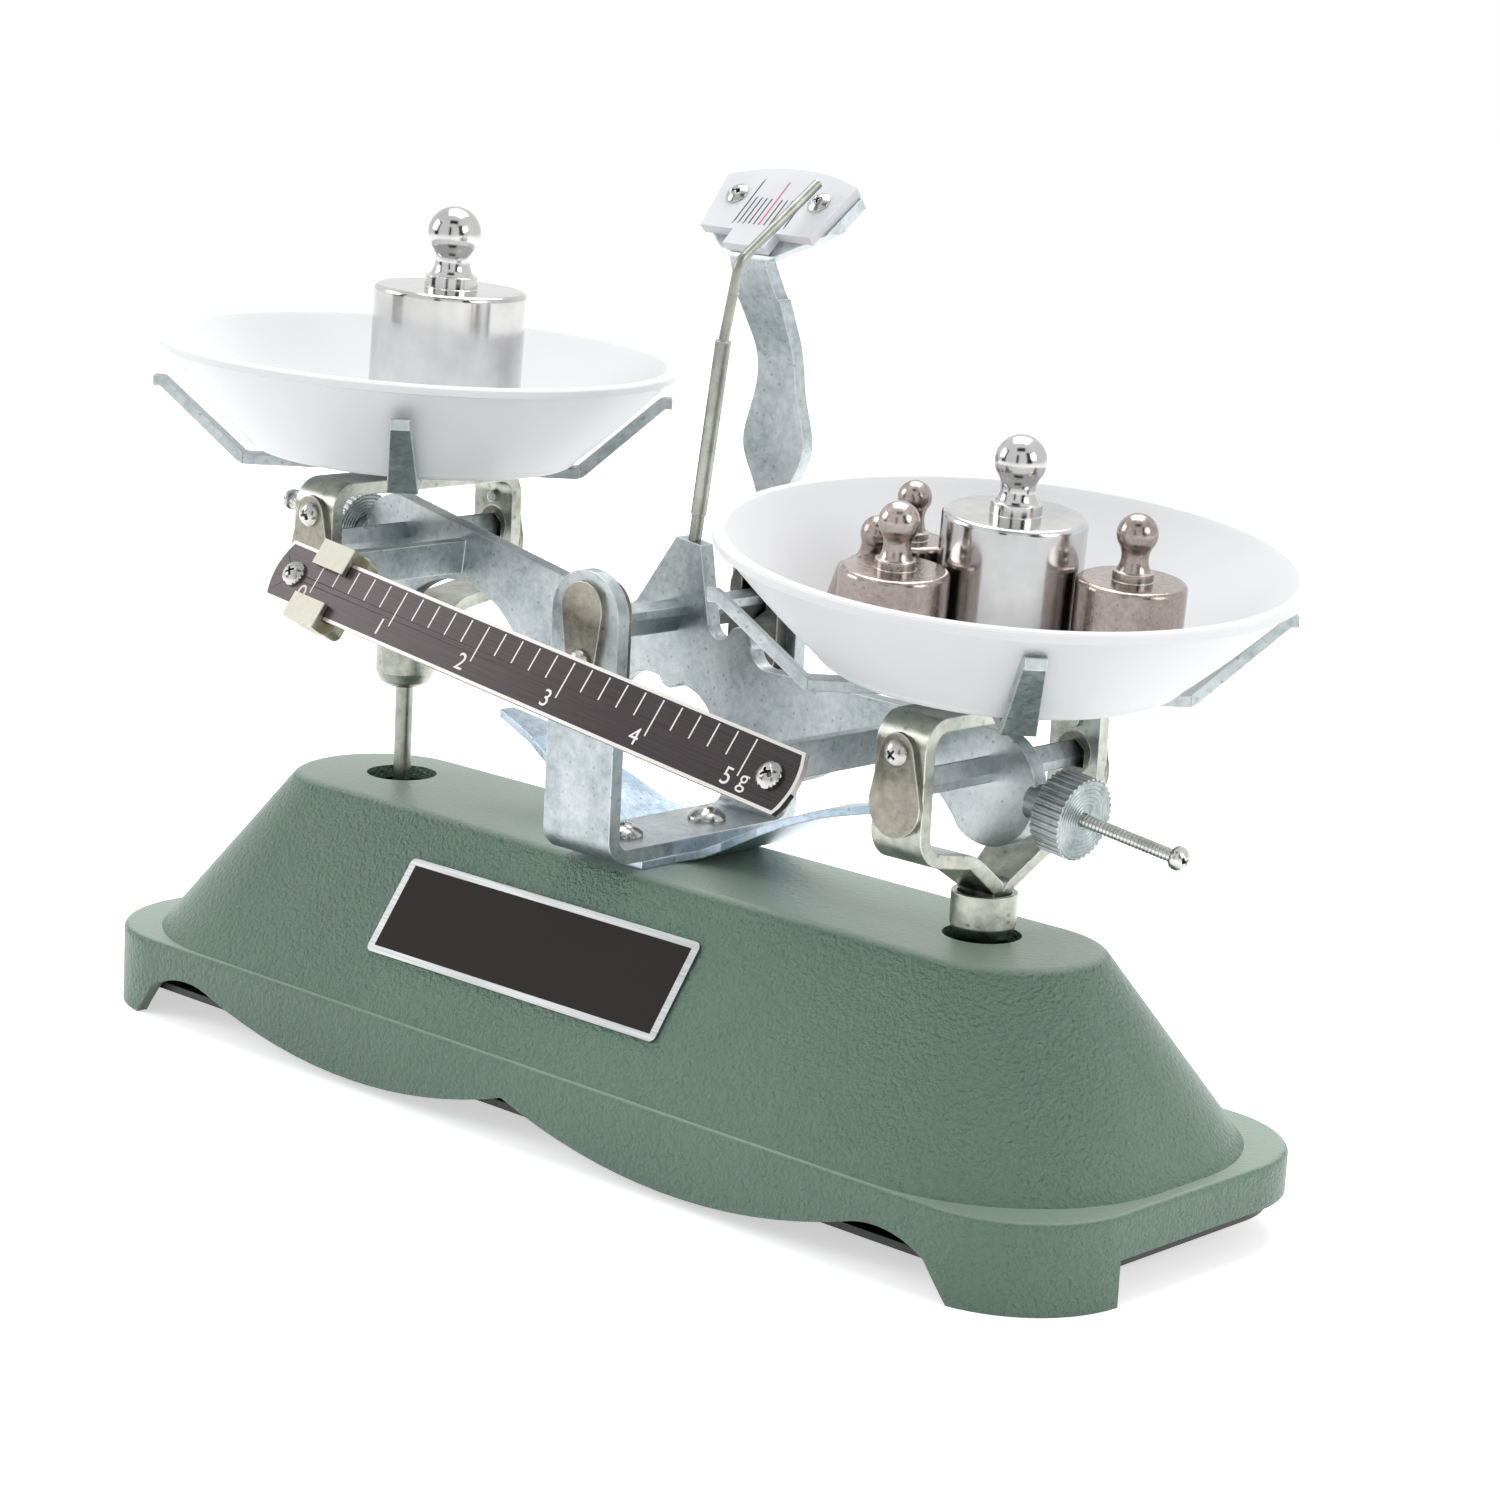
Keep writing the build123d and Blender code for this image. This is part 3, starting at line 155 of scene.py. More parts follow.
def plated_metal(name, dark, light, roughness, pit_strength, grain=1.4, edge_highlight_tone="#e4e8e5"):
    """Plated metal: a mottled tone, small dark pits, and edges rounded a little, painted paler along them as
    a painted highlight.
    """
    material, tree, output, place = new_material(name)
    mottle = add_node(tree, "TexNoise", {"Vector": place, "Scale": 1 / (grain * MM), "Detail": 4,
                                         "Roughness": 0.65})
    patches = add_node(tree, "TexNoise", {"Vector": place, "Scale": 90, "Detail": 2})
    cells = add_node(tree, "TexVoronoi", {"Vector": place, "Scale": 0.9 / (grain * MM)})
    pits = add_node(tree, "MapRange", {"Value": cells.outputs["Distance"], "From Min": 0.06, "From Max": 0.2})
    spread = add_node(tree, "Math", {0: mottle.outputs["Fac"], 1: patches.outputs["Fac"]}, operation="ADD")
    mix = add_node(tree, "MapRange", {"Value": spread.outputs[0], "From Min": 0.75, "From Max": 1.25})
    tone = add_node(tree, "Mix", {"Factor": mix.outputs["Result"], "A": linear(dark), "B": linear(light)},
                    data_type="RGBA")
    # Painted highlight: where the bevelled normal turns away from the flat normal, along every edge, the
    # colour is painted paler towards the given pale edge colour.
    edge = add_node(tree, "Bevel", {"Radius": 0.3 * MM}, samples=4)
    flat = add_node(tree, "NewGeometry")
    turned_away = add_node(tree, "VectorMath", {0: edge.outputs[0], 1: flat.outputs["Normal"]},
                           operation="DOT_PRODUCT")
    rim = add_node(tree, "MapRange", {"Value": turned_away.outputs["Value"], "From Min": 0.995,
                                      "From Max": 0.9,
                                      "To Max": 0.9})
    tone = add_node(tree, "Mix", {"Factor": rim.outputs["Result"], "A": tone.outputs["Result"],
                                  "B": linear(edge_highlight_tone)}, data_type="RGBA")
    pit_depth = add_node(tree, "MapRange", {"Value": pits.outputs["Result"], "To Min": pit_strength,
                                            "To Max": 0.0})
    tone = add_node(tree, "Mix", {"Factor": pit_depth.outputs["Result"], "A": tone.outputs["Result"],
                                  "B": linear("#4a5554")}, data_type="RGBA")
    rough = add_node(tree, "MapRange", {"Value": mottle.outputs["Fac"], "To Min": roughness - 0.1,
                                        "To Max": roughness + 0.12})
    rise = add_node(tree, "Math", {0: mottle.outputs["Fac"], 1: pits.outputs["Result"]}, operation="MULTIPLY")
    bump = add_node(tree, "Bump", {"Height": rise.outputs[0], "Strength": pit_strength, "Distance": 0.09 * MM,
                                   "Normal": edge.outputs[0]})
    shader = add_node(tree, "BsdfPrincipled", {"Base Color": tone.outputs["Result"], "Metallic": 1.0,
                                               "Roughness": rough.outputs["Result"],
                                               "Normal": bump.outputs["Normal"]})
    tree.links.new(shader.outputs[0], output.inputs["Surface"])
    return material


zinc_plate = plated_metal("zinc_plated_steel", "#929b9e", "#bfc5c7", 0.38, 0.4)
for name in ("centre_bracket", "beam", "stay", "stay_hanger", "left_spider", "right_spider",
             "centre_knife", "left_knife", "right_knife"):
    dress(nodes[name], zinc_plate)
brown_nickel = plated_metal("cover_sheet_nickel", "#757069", "#9c998d", 0.3, 0.3)
for name in ("front_cover", "rear_cover", "left_knife_covers", "right_knife_covers"):
    dress(nodes[name], brown_nickel)

# Swing limiter: a narrow tongue of sheet steel under the bracket with two blades that rise to the sides.
# Sheared from thin strip and bent up; its zinc is bluer, and the sheared edges are ribbed.
limiter_foot, limiter_front, limiter_span = 7.2, -13.7, 80
stamp_low, stamp_height = 30, 40
limiter_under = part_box("swing_limiter")[0][2] / MM
limiter_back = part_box("swing_limiter")[1][1] / MM
limiter_sheet = 1.2
blade_rise = [(7.0, 0.0), (10.0, 1.0), (20.0, 6.2), (24.0, 8.2), (30.0, 10.6), (36.0, 12.1), (39.6, 12.9)]
blade_front = [(7.2, -6.5), (9.0, -4.4), (13.0, -3.2), (20.0, -3.2), (26.0, -2.2), (32.0, -0.6), (39.4, 1.2)]
blade_back = [(39.4, 4.0), (30.0, 6.5), (20.0, 9.0), (12.0, 11.5)]
limiter_outline = [(limiter_foot, limiter_front)] + blade_front + blade_back + [(9.0, limiter_back - 0.2)]


def height_on_blade(reach):
    """How far the sheet has risen at a distance from the middle, between the bend's given points."""
    for (near, low), (far, high) in zip(blade_rise, blade_rise[1:]):
        if near <= reach <= far:
            return low + (high - low) * (reach - near) / (far - near)
    return 0.0 if reach < blade_rise[0][0] else blade_rise[-1][1]


bpy.ops.object.select_all(action="DESELECT")
bpy.ops.mesh.primitive_grid_add(x_subdivisions=80, y_subdivisions=1, size=limiter_span * MM)
limiter = bpy.context.active_object
limiter.name = "limiter_blades"
for corner in limiter.data.vertices:
    corner.co.z = (limiter_under + limiter_sheet / 2 + height_on_blade(abs(corner.co.x) / MM)) * MM
sheet = limiter.modifiers.new("sheet", "SOLIDIFY")
sheet.thickness = limiter_sheet * MM
sheet.offset = 0
bpy.ops.object.modifier_apply(modifier=sheet.name)
bpy.ops.mesh.primitive_plane_add(size=1)
stamp = bpy.context.active_object
outline_points = limiter_outline + [(-x, y) for x, y in reversed(limiter_outline)]
stamp.data.clear_geometry()
stamp_points = [(x * MM, y * MM, stamp_low * MM) for x, y in outline_points]
stamp.data.from_pydata(stamp_points, [], [list(range(len(stamp_points)))])
bpy.ops.object.mode_set(mode="EDIT")
bpy.ops.mesh.select_all(action="SELECT")
bpy.ops.mesh.extrude_region_move(TRANSFORM_OT_translate={"value": (0, 0, stamp_height * MM)})
bpy.ops.mesh.select_all(action="SELECT")
bpy.ops.mesh.normals_make_consistent(inside=False)
bpy.ops.object.mode_set(mode="OBJECT")
bpy.ops.object.select_all(action="DESELECT")
limiter.select_set(True)
bpy.context.view_layer.objects.active = limiter
cut = limiter.modifiers.new("outline", "BOOLEAN")
cut.object = stamp
cut.operation = "INTERSECT"
cut.solver = "EXACT"
bpy.ops.object.modifier_apply(modifier=cut.name)
bpy.data.objects.remove(stamp)
# The pale edge colour given here is a painted highlight along the blades' edges.
dress(limiter, plated_metal("blue_zinc_plate", "#8c9fae", "#bfccd8", 0.3, 0.4, edge_highlight_tone="#e3ebf2"))
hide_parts("swing_limiter")
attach(limiter, "base")

# Pan carriers with their ferrules: strap bent to a closed frame, its ends pinched in a pressed cup.
# Nickel plated over brass, so they look yellower than the zinc.
warm_nickel = plated_metal("warm_nickel_plate", "#858880", "#bdc0b6", 0.3, 0.5, grain=2.2)
for name in ("left_carrier", "right_carrier", "left_ferrule", "right_ferrule"):
    dress(nodes[name], warm_nickel)
bearing_steel = plated_metal("bearing_steel", "#5c5952", "#86837a", 0.35, 0.3)
for name in ("front_bearing", "rear_bearing", "left_knife_bearings", "right_knife_bearings"):
    dress(nodes[name], bearing_steel)

# Pins, rods, hexagon nuts and the pointer: drawn and turned steel under a thin, greyish nickel.
# They are smooth, with hardly any pits.
drawn_steel = plated_metal("drawn_steel", "#7e807a", "#a6a8a0", 0.3, 0.1, grain=2.0)
for name in ("bracket_nuts", "left_rod", "right_rod", "left_rod_pin", "right_rod_pin", "stay_pin", "pointer"):
    dress(nodes[name], drawn_steel)

# Screws: cold-headed pan heads with a cross recess, bright nickel plated.
# The recess is pressed in with a tapered punch, which is cut out of each head here.
bright_nickel = plated_metal("bright_nickel", "#a3a39f", "#cfcfcb", 0.2, 0.12, grain=3.0)


def bare_copy(node):
    """A copy of a CAD node's mesh as a new object, its loose triangles joined and nothing else selected."""
    bpy.ops.object.select_all(action="DESELECT")
    piece = bpy.data.objects.new(node + "_finished", nodes[node].data.copy())
    bpy.context.scene.collection.objects.link(piece)
    bpy.context.view_layer.objects.active = piece
    piece.select_set(True)
    bpy.ops.object.mode_set(mode="EDIT")
    bpy.ops.mesh.select_all(action="SELECT")
    bpy.ops.mesh.remove_doubles(threshold=0.001 * MM)
    bpy.ops.object.mode_set(mode="OBJECT")
    return piece


def cross_punch(head_radius):
    """A tapered cross standing on its point, from a cube whose four sides are drawn out and narrowed."""
    web, arm, depth, point = 0.3 * head_radius, 0.5 * head_radius, 0.7 * head_radius, 0.45
    bpy.ops.object.select_all(action="DESELECT")
    bpy.ops.mesh.primitive_cube_add(size=1)
    punch = bpy.context.active_object
    bpy.ops.object.mode_set(mode="EDIT")
    bpy.ops.transform.resize(value=(web * MM, web * MM, 2 * depth * MM))
    for way in (Vector((1, 0, 0)), Vector((-1, 0, 0)), Vector((0, 1, 0)), Vector((0, -1, 0))):
        bpy.ops.mesh.select_all(action="DESELECT")
        bpy.ops.object.mode_set(mode="OBJECT")
        side = max(punch.data.polygons, key=lambda face: face.center.dot(way))
        side.select = True
        bpy.ops.object.mode_set(mode="EDIT")
        bpy.ops.mesh.extrude_region_move(TRANSFORM_OT_translate={"value": tuple(way * arm * MM)})
    bpy.ops.mesh.select_all(action="DESELECT")
    bpy.ops.object.mode_set(mode="OBJECT")
    for corner in punch.data.vertices:
        corner.select = corner.co.z < 0
    bpy.ops.object.mode_set(mode="EDIT")
    bpy.ops.transform.resize(value=(point, point, 1), center_override=(0, 0, 0))
    bpy.ops.object.mode_set(mode="OBJECT")
    return punch


def cross_head_screws(node, body, head_radius, ways, turn=0.5):
    """Screws whose heads look along the given ways, each with its cross recess; they stand for the node."""
    screws = bare_copy(node)
    bpy.ops.mesh.separate(type="LOOSE")
    parts = list(bpy.context.selected_objects)
    for part in parts:
        middle = sum((corner.co for corner in part.data.vertices), Vector()) / len(part.data.vertices)
        way = Vector(max(ways, key=lambda side: Vector(side).dot(middle)))
        apex = max(part.data.vertices, key=lambda corner: corner.co.dot(way)).co.copy()
        punch = cross_punch(head_radius)
        punch.data.transform(Matrix.Translation(apex) @ way.to_track_quat("Z", "Y").to_matrix().to_4x4()
                             @ Matrix.Rotation(turn, 4, "Z"))
        cut = part.modifiers.new("recess", "BOOLEAN")
        cut.object = punch
        cut.operation = "DIFFERENCE"
        cut.solver = "EXACT"
        bpy.ops.object.select_all(action="DESELECT")
        bpy.context.view_layer.objects.active = part
        part.select_set(True)
        bpy.ops.object.modifier_apply(modifier=cut.name)
        bpy.data.objects.remove(punch)
    bpy.ops.object.select_all(action="DESELECT")
    for part in parts:
        part.select_set(True)
    bpy.context.view_layer.objects.active = parts[0]
    if len(parts) > 1:
        bpy.ops.object.join()
    screws = bpy.context.active_object
    screws.name = node + "_recessed"
    dress(screws, bright_nickel)
    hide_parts(node)
    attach(screws, body)
    return screws


front_and_back = ((0, -1, 0), (0, 1, 0))
dial_normal = (0, -0.682, 0.731)
beam_tilt, recline = radians(7.2), radians(32)
beam_pivot = Vector((0, 0, 72.2 * MM))
along_beam = Vector((cos(beam_tilt), 0, -sin(beam_tilt)))
across_beam = Vector((sin(beam_tilt), 0, cos(beam_tilt)))
ruler_normal = Vector((0, -1, 0)) * cos(recline) + across_beam * sin(recline)
cross_head_screws("bottom_screws", "base", 2.3, [(0, 0, -1)])
cross_head_screws("bracket_screws", "base", 2.9, [(0, 0, 1)])
cross_head_screws("centre_cover_screws", "base", 2.0, front_and_back)
cross_head_screws("dial_screws", "base", 1.8, [dial_normal])
cross_head_screws("ruler_screws", "beam", 2.0, [ruler_normal])
cross_head_screws("left_knife_cover_screws", "left_carrier", 1.9, front_and_back, turn=0.2)
cross_head_screws("right_knife_cover_screws", "right_carrier", 1.9, front_and_back, turn=0.9)

# Adjusting screws: cross-head machine screws with a fine thread, riveted in the ends of the beam.
# The thread is drawn as rings of its own pitch; the head is kept from the solid.
adjuster_v = -4.0


def threaded_adjuster(node, way, seat, root):
    """The screw's head, cut off its solid, on a new shank with a thread of 0.6 mm pitch."""
    pitch, crest, valley = 0.6, 1.0, 0.84
    turns = round((seat - root) / pitch)
    axis_at = beam_pivot + across_beam * adjuster_v * MM
    head = cross_head_screws(node, "beam", 1.7, [along_beam * way], turn=0.35)
    bpy.ops.object.select_all(action="DESELECT")
    bpy.context.view_layer.objects.active = head
    head.select_set(True)
    bpy.ops.object.mode_set(mode="EDIT")
    bpy.ops.mesh.select_all(action="SELECT")
    bpy.ops.mesh.bisect(plane_co=axis_at + along_beam * way * (seat - 0.1) * MM, plane_no=along_beam * way,
                        use_fill=True, clear_inner=True)
    bpy.ops.object.mode_set(mode="OBJECT")
    bpy.ops.object.select_all(action="DESELECT")
    bpy.ops.mesh.primitive_circle_add(vertices=28, radius=valley * MM, fill_type="NGON")
    shank = bpy.context.active_object
    bpy.ops.object.mode_set(mode="EDIT")
    bpy.ops.mesh.select_all(action="SELECT")
    for turn in range(turns):
        for growth in (crest / valley, valley / crest):
            bpy.ops.mesh.extrude_region_move(TRANSFORM_OT_translate={"value": (0, 0, pitch / 2 * MM)})
            bpy.ops.transform.resize(value=(growth, growth, 1))
    bpy.ops.mesh.select_all(action="SELECT")
    bpy.ops.mesh.normals_make_consistent(inside=False)
    bpy.ops.object.mode_set(mode="OBJECT")
    shank.data.transform(Matrix.Translation(axis_at + along_beam * way * (seat - turns * pitch) * MM)
                         @ (along_beam * way).to_track_quat("Z", "Y").to_matrix().to_4x4())
    dress(shank, bright_nickel)
    shank.select_set(True)
    head.select_set(True)
    bpy.context.view_layer.objects.active = head
    bpy.ops.object.join()


threaded_adjuster("right_adjuster", 1, 93.5, 66.0)
threaded_adjuster("left_adjuster", -1, 88.6, 64.0)

# Knurled nuts: turned steel discs, zinc plated, with a coarse straight knurl pressed round the rim.
# The faces keep the fine rings of the turning tool.
ring_scale, ring_depth = 550, 0.14
for name in ("left_nut", "right_nut"):
    turned_zinc = plated_metal(name + "_turned_zinc", "#7f898b", "#b7bfbf", 0.34, 0.3)
    tree = turned_zinc.node_tree
    nut_middle = (Vector(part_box(name)[0]) + Vector(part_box(name)[1])) / 2
    place = add_node(tree, "TexCoord").outputs["Object"]
    from_nut = add_node(tree, "VectorMath", {0: place, 1: nut_middle}, operation="SUBTRACT")
    levelled = add_node(tree, "VectorRotate", {"Vector": from_nut.outputs[0], "Angle": -beam_tilt},
                        rotation_type="Y_AXIS")
    rings = add_node(tree, "TexWave", {"Vector": levelled.outputs[0], "Scale": ring_scale, "Distortion": 0.6},
                     wave_type="RINGS", rings_direction="X")
    shader = next(node for node in tree.nodes if node.bl_idname == "ShaderNodeBsdfPrincipled")
    grooves = add_node(tree, "Bump", {"Height": rings.outputs["Fac"], "Strength": 1.0,
                                      "Distance": ring_depth * MM,
                                      "Normal": shader.inputs["Normal"].links[0].from_socket})
    tree.links.new(grooves.outputs["Normal"], shader.inputs["Normal"])
    dress(nodes[name], turned_zinc)

# Dial: a small plate of milky plastic on the reclined head, printed with a fan of lines.
# The middle line is red; eight short and two long dark lines stand beside it.
dial_plastic, tree, output, place = new_material("milky_dial")
haze = add_node(tree, "TexNoise", {"Vector": place, "Scale": 90, "Detail": 2})
tone = add_node(tree, "Mix", {"Factor": haze.outputs["Fac"], "A": linear("#cfd0d5"), "B": linear("#e6e7ea")},
                data_type="RGBA")
shader = add_node(tree, "BsdfPrincipled", {"Base Color": tone.outputs["Result"], "Roughness": 0.3,
                                           "IOR": 1.49,
                                           "Subsurface Weight": 0.2, "Subsurface Radius": (1, 1, 1),
                                           "Subsurface Scale": 0.8 * MM})
tree.links.new(shader.outputs[0], output.inputs["Surface"])
dress(nodes["dial"], dial_plastic)


def ink(name, code, roughness=0.5):
    """Printing ink: one colour, faintly uneven where the screen left it thin."""
    material, tree, output, place = new_material(name)
    thin = add_node(tree, "TexNoise", {"Vector": place, "Scale": 2500, "Detail": 1})
    rough = add_node(tree, "MapRange", {"Value": thin.outputs["Fac"], "To Min": roughness - 0.08,
                                        "To Max": roughness + 0.08})
    shader = add_node(tree, "BsdfPrincipled", {"Base Color": linear(code),
                                               "Roughness": rough.outputs["Result"]})
    tree.links.new(shader.outputs[0], output.inputs["Surface"])
    return material


def bar_marks(name, bars, to_place, lift):
    """Printed lines as thin raised bars, each given by its ends and width, drawn flat and laid in place."""
    bpy.ops.object.select_all(action="DESELECT")
    bpy.ops.mesh.primitive_plane_add(size=1)
    marks = bpy.context.active_object
    marks.name = name
    bpy.ops.object.mode_set(mode="EDIT")
    bpy.ops.mesh.delete(type="VERT")
    for (x0, y0), (x1, y1), width in bars:
        run = Vector((x1 - x0, y1 - y0, 0))
        lean = Vector((0, 1, 0)).angle(run) * (1 if run.x < 0 else -1)
        middle = ((x0 + x1) / 2 * MM, (y0 + y1) / 2 * MM, 0)
        bpy.ops.mesh.select_all(action="DESELECT")
        bpy.ops.mesh.primitive_plane_add(size=1, location=middle, rotation=(0, 0, lean))
        bpy.ops.transform.resize(value=(width * MM, run.length * MM, 1), orient_type="LOCAL",
                                 center_override=middle)
    bpy.ops.mesh.select_all(action="SELECT")
    bpy.ops.mesh.extrude_region_move(TRANSFORM_OT_translate={"value": (0, 0, lift * MM)})
    bpy.ops.mesh.select_all(action="SELECT")
    bpy.ops.mesh.normals_make_consistent(inside=False)
    bpy.ops.object.mode_set(mode="OBJECT")
    marks.data.transform(to_place)
    return marks


def frame_matrix(origin, x_axis, y_axis):
    """The matrix that lays drawings made flat on XY into a plane of the object."""
    x_axis, y_axis = Vector(x_axis).normalized(), Vector(y_axis).normalized()
    z_axis = x_axis.cross(y_axis)
    return Matrix((
        (x_axis.x, y_axis.x, z_axis.x, origin[0]),
        (x_axis.y, y_axis.y, z_axis.y, origin[1]),
        (x_axis.z, y_axis.z, z_axis.z, origin[2]),
        (0, 0, 0, 1)))


dial_slope, dial_middle = radians(43), (0, 12.4 * MM, 131.8 * MM)
line_foot, short_top, long_top, line_width, ink_height = -0.3, 5.0, 8.6, 0.24, 0.03
foot_step, top_step = 0.95, 1.08
dial_place = frame_matrix(dial_middle, (1, 0, 0), (0, cos(dial_slope), sin(dial_slope)))
dial_lines = [((-4.6, line_foot), (-5.5, 8.4), line_width), ((4.6, line_foot), (5.6, long_top), line_width)]
for step in (-4, -3, -2, -1, 1, 2, 3, 4):
    dial_lines.append(((step * foot_step, line_foot), (step * top_step, short_top), line_width))
lines = bar_marks("dial_lines", dial_lines, dial_place, ink_height)
dress(lines, ink("dark_ink", "#4b4c55"))
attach(lines, "base")
middle_line = bar_marks("dial_middle_line", [((0.0, line_foot), (0.0, long_top), 0.3)], dial_place,
                        ink_height)
dress(middle_line, ink("red_ink", "#c4708a"))
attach(middle_line, "base")

# Ruler: a steel strip screwed to the beam's two tabs, etched dark with a bright rim left bare.
# The ticks are five to a gram; the numerals stand beside each long tick.
ruler_y, ruler_v = -33, -2.4
ruler_up = across_beam * cos(recline) + Vector((0, 1, 0)) * sin(recline)
ruler_middle = beam_pivot + Vector((0, ruler_y * MM, 0)) + across_beam * ruler_v * MM
ruler_place = frame_matrix(ruler_middle, along_beam, ruler_up)
ruler_turn = ruler_place.to_3x3().transposed().to_euler()
ruler_half, ruler_rim = (54.0, 4.75), 0.5
end_radius, end_play = 10.0, 0.02
end_centre = ruler_half[0] - end_radius

ruler_strip = bare_copy("ruler")
bpy.ops.object.mode_set(mode="EDIT")
for way in (1, -1):
    for step in (-28, -20, -12, -4, 4, 12, 20, 28):
        lean = Vector((way * cos(radians(step)), sin(radians(step)), 0))
        tangent = ruler_place @ ((Vector((way * end_centre, 0, 0)) + lean * (end_radius + end_play)) * MM)
        bpy.ops.mesh.select_all(action="SELECT")
        bpy.ops.mesh.bisect(plane_co=tangent, plane_no=ruler_place.to_3x3() @ lean,
                            use_fill=True, clear_outer=True)
bpy.ops.object.mode_set(mode="OBJECT")
ruler_strip.name = "ruler_strip"
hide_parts("ruler")
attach(ruler_strip, "beam")

etched_steel, tree, output, place = new_material("etched_steel")
from_middle = add_node(tree, "VectorMath", {0: place, 1: ruler_middle}, operation="SUBTRACT")
turned = add_node(tree, "Mapping", {"Vector": from_middle.outputs[0], "Rotation": ruler_turn})
axes = add_node(tree, "SeparateXYZ", {"Vector": turned.outputs[0]})
far_x = add_node(tree, "Math", {0: axes.outputs["X"]}, operation="ABSOLUTE")
far_y = add_node(tree, "Math", {0: axes.outputs["Y"]}, operation="ABSOLUTE")
past_x = add_node(tree, "Math", {0: far_x.outputs[0], 1: end_centre * MM}, operation="SUBTRACT")
past_x = add_node(tree, "Math", {0: past_x.outputs[0], 1: 0.0}, operation="MAXIMUM")
to_end = add_node(tree, "CombineXYZ", {"X": past_x.outputs[0], "Y": far_y.outputs[0]})
to_end = add_node(tree, "VectorMath", {0: to_end.outputs[0]}, operation="LENGTH")
in_x = add_node(tree, "Math", {0: to_end.outputs["Value"], 1: (end_radius - ruler_rim) * MM},
                operation="LESS_THAN")
in_y = add_node(tree, "Math", {0: far_y.outputs[0], 1: (ruler_half[1] - ruler_rim) * MM},
                operation="LESS_THAN")
in_z = add_node(tree, "Math", {0: axes.outputs["Z"], 1: -0.05 * MM}, operation="GREATER_THAN")
inside = add_node(tree, "Math", {0: in_x.outputs[0], 1: in_y.outputs[0]}, operation="MULTIPLY")
etched = add_node(tree, "Math", {0: inside.outputs[0], 1: in_z.outputs[0]}, operation="MULTIPLY")
grain = add_node(tree, "Mapping", {"Vector": turned.outputs[0], "Scale": (90, 5000, 90)})
brush = add_node(tree, "TexNoise", {"Vector": grain.outputs[0], "Scale": 1, "Detail": 3})
# Painted sheen: the etched ground is painted lighter at the left end of the strip and darker towards the
# right.
along = add_node(tree, "MapRange", {"Value": axes.outputs["X"], "From Min": -45 * MM, "From Max": 20 * MM})
low = add_node(tree, "Mix", {"Factor": along.outputs["Result"], "A": linear("#3d3839"),
                             "B": linear("#231f20")},
               data_type="RGBA")
high = add_node(tree, "Mix", {"Factor": along.outputs["Result"], "A": linear("#6e6769"),
                              "B": linear("#4c4647")},
                data_type="RGBA")
dark = add_node(tree, "Mix", {"Factor": brush.outputs["Fac"], "A": low.outputs["Result"],
                              "B": high.outputs["Result"]},
                data_type="RGBA")
colour = add_node(tree, "Mix", {"Factor": etched.outputs[0], "A": linear("#c6c3bf"),
                                "B": dark.outputs["Result"]},
                  data_type="RGBA")
rough = add_node(tree, "MapRange", {"Value": brush.outputs["Fac"], "To Min": 0.3, "To Max": 0.5})
bump = add_node(tree, "Bump", {"Height": brush.outputs["Fac"], "Strength": 0.15, "Distance": 0.03 * MM})
shader = add_node(tree, "BsdfPrincipled", {"Base Color": colour.outputs["Result"], "Metallic": 0.85,
                                           "Roughness": rough.outputs["Result"],
                                           "Normal": bump.outputs["Normal"]})
tree.links.new(shader.outputs[0], output.inputs["Surface"])
dress(ruler_strip, etched_steel)

zero_x, gram, tick_top = -44.5, 17.8, 3.95
long_tick, short_tick, tick_width = 5.7, 3.6, 0.24
tick_bars = []
for tick in range(26):
    x = zero_x + tick * gram / 5
    length = long_tick if tick % 5 == 0 else short_tick
    tick_bars.append(((x, tick_top - length), (x, tick_top), tick_width))
white_ink = ink("white_ink", "#f4f2ee", 0.4)
ticks = bar_marks("ruler_ticks", tick_bars, ruler_place, ink_height)
dress(ticks, white_ink)
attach(ticks, "beam")

figure_size, figure_thick = 3.7, 0.02
figure_left, figure_low, unit_right, unit_low = 1.6, -3.5, 1.4, -2.9


def numeral(name, body, x, y):
    """One printed figure on the ruler: a font outline made a thin mesh and laid on the strip."""
    bpy.ops.object.select_all(action="DESELECT")
    bpy.ops.object.text_add(location=(0, 0, 0))
    figure = bpy.context.active_object
    figure.data.body = body
    figure.data.size = figure_size * MM
    figure.data.extrude = figure_thick * MM
    figure.data.align_x = "CENTER"
    bpy.ops.object.convert(target="MESH")
    figure = bpy.context.active_object
    figure.name = name
    figure.data.transform(Matrix.Translation((x * MM, y * MM, ink_height / 2 * MM)))
    figure.data.transform(ruler_place)
    dress(figure, white_ink)
    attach(figure, "beam")


for value in range(6):
    numeral(f"ruler_figure_{value}", str(value), zero_x + value * gram - figure_left, figure_low)
numeral("ruler_figure_unit", "g", zero_x + 5 * gram + unit_right, unit_low)

# Rider: a small cast slider hooked over both edges of the ruler, with cream lacquered lips in front.
# Its back is bare nickel.
lip_front = 1.0
rider_finish, tree, output, place = new_material("cream_lipped_nickel")
from_middle = add_node(tree, "VectorMath", {0: place, 1: ruler_middle}, operation="SUBTRACT")
turned = add_node(tree, "Mapping", {"Vector": from_middle.outputs[0], "Rotation": ruler_turn})
axes = add_node(tree, "SeparateXYZ", {"Vector": turned.outputs[0]})
front = add_node(tree, "Math", {0: axes.outputs["Z"], 1: lip_front * MM}, operation="GREATER_THAN")
speckle = add_node(tree, "TexNoise", {"Vector": place, "Scale": 1200, "Detail": 3})
back_tone = add_node(tree, "Mix", {"Factor": speckle.outputs["Fac"], "A": linear("#8f8c7b"),
                                   "B": linear("#c4c1ae")},
                     data_type="RGBA")
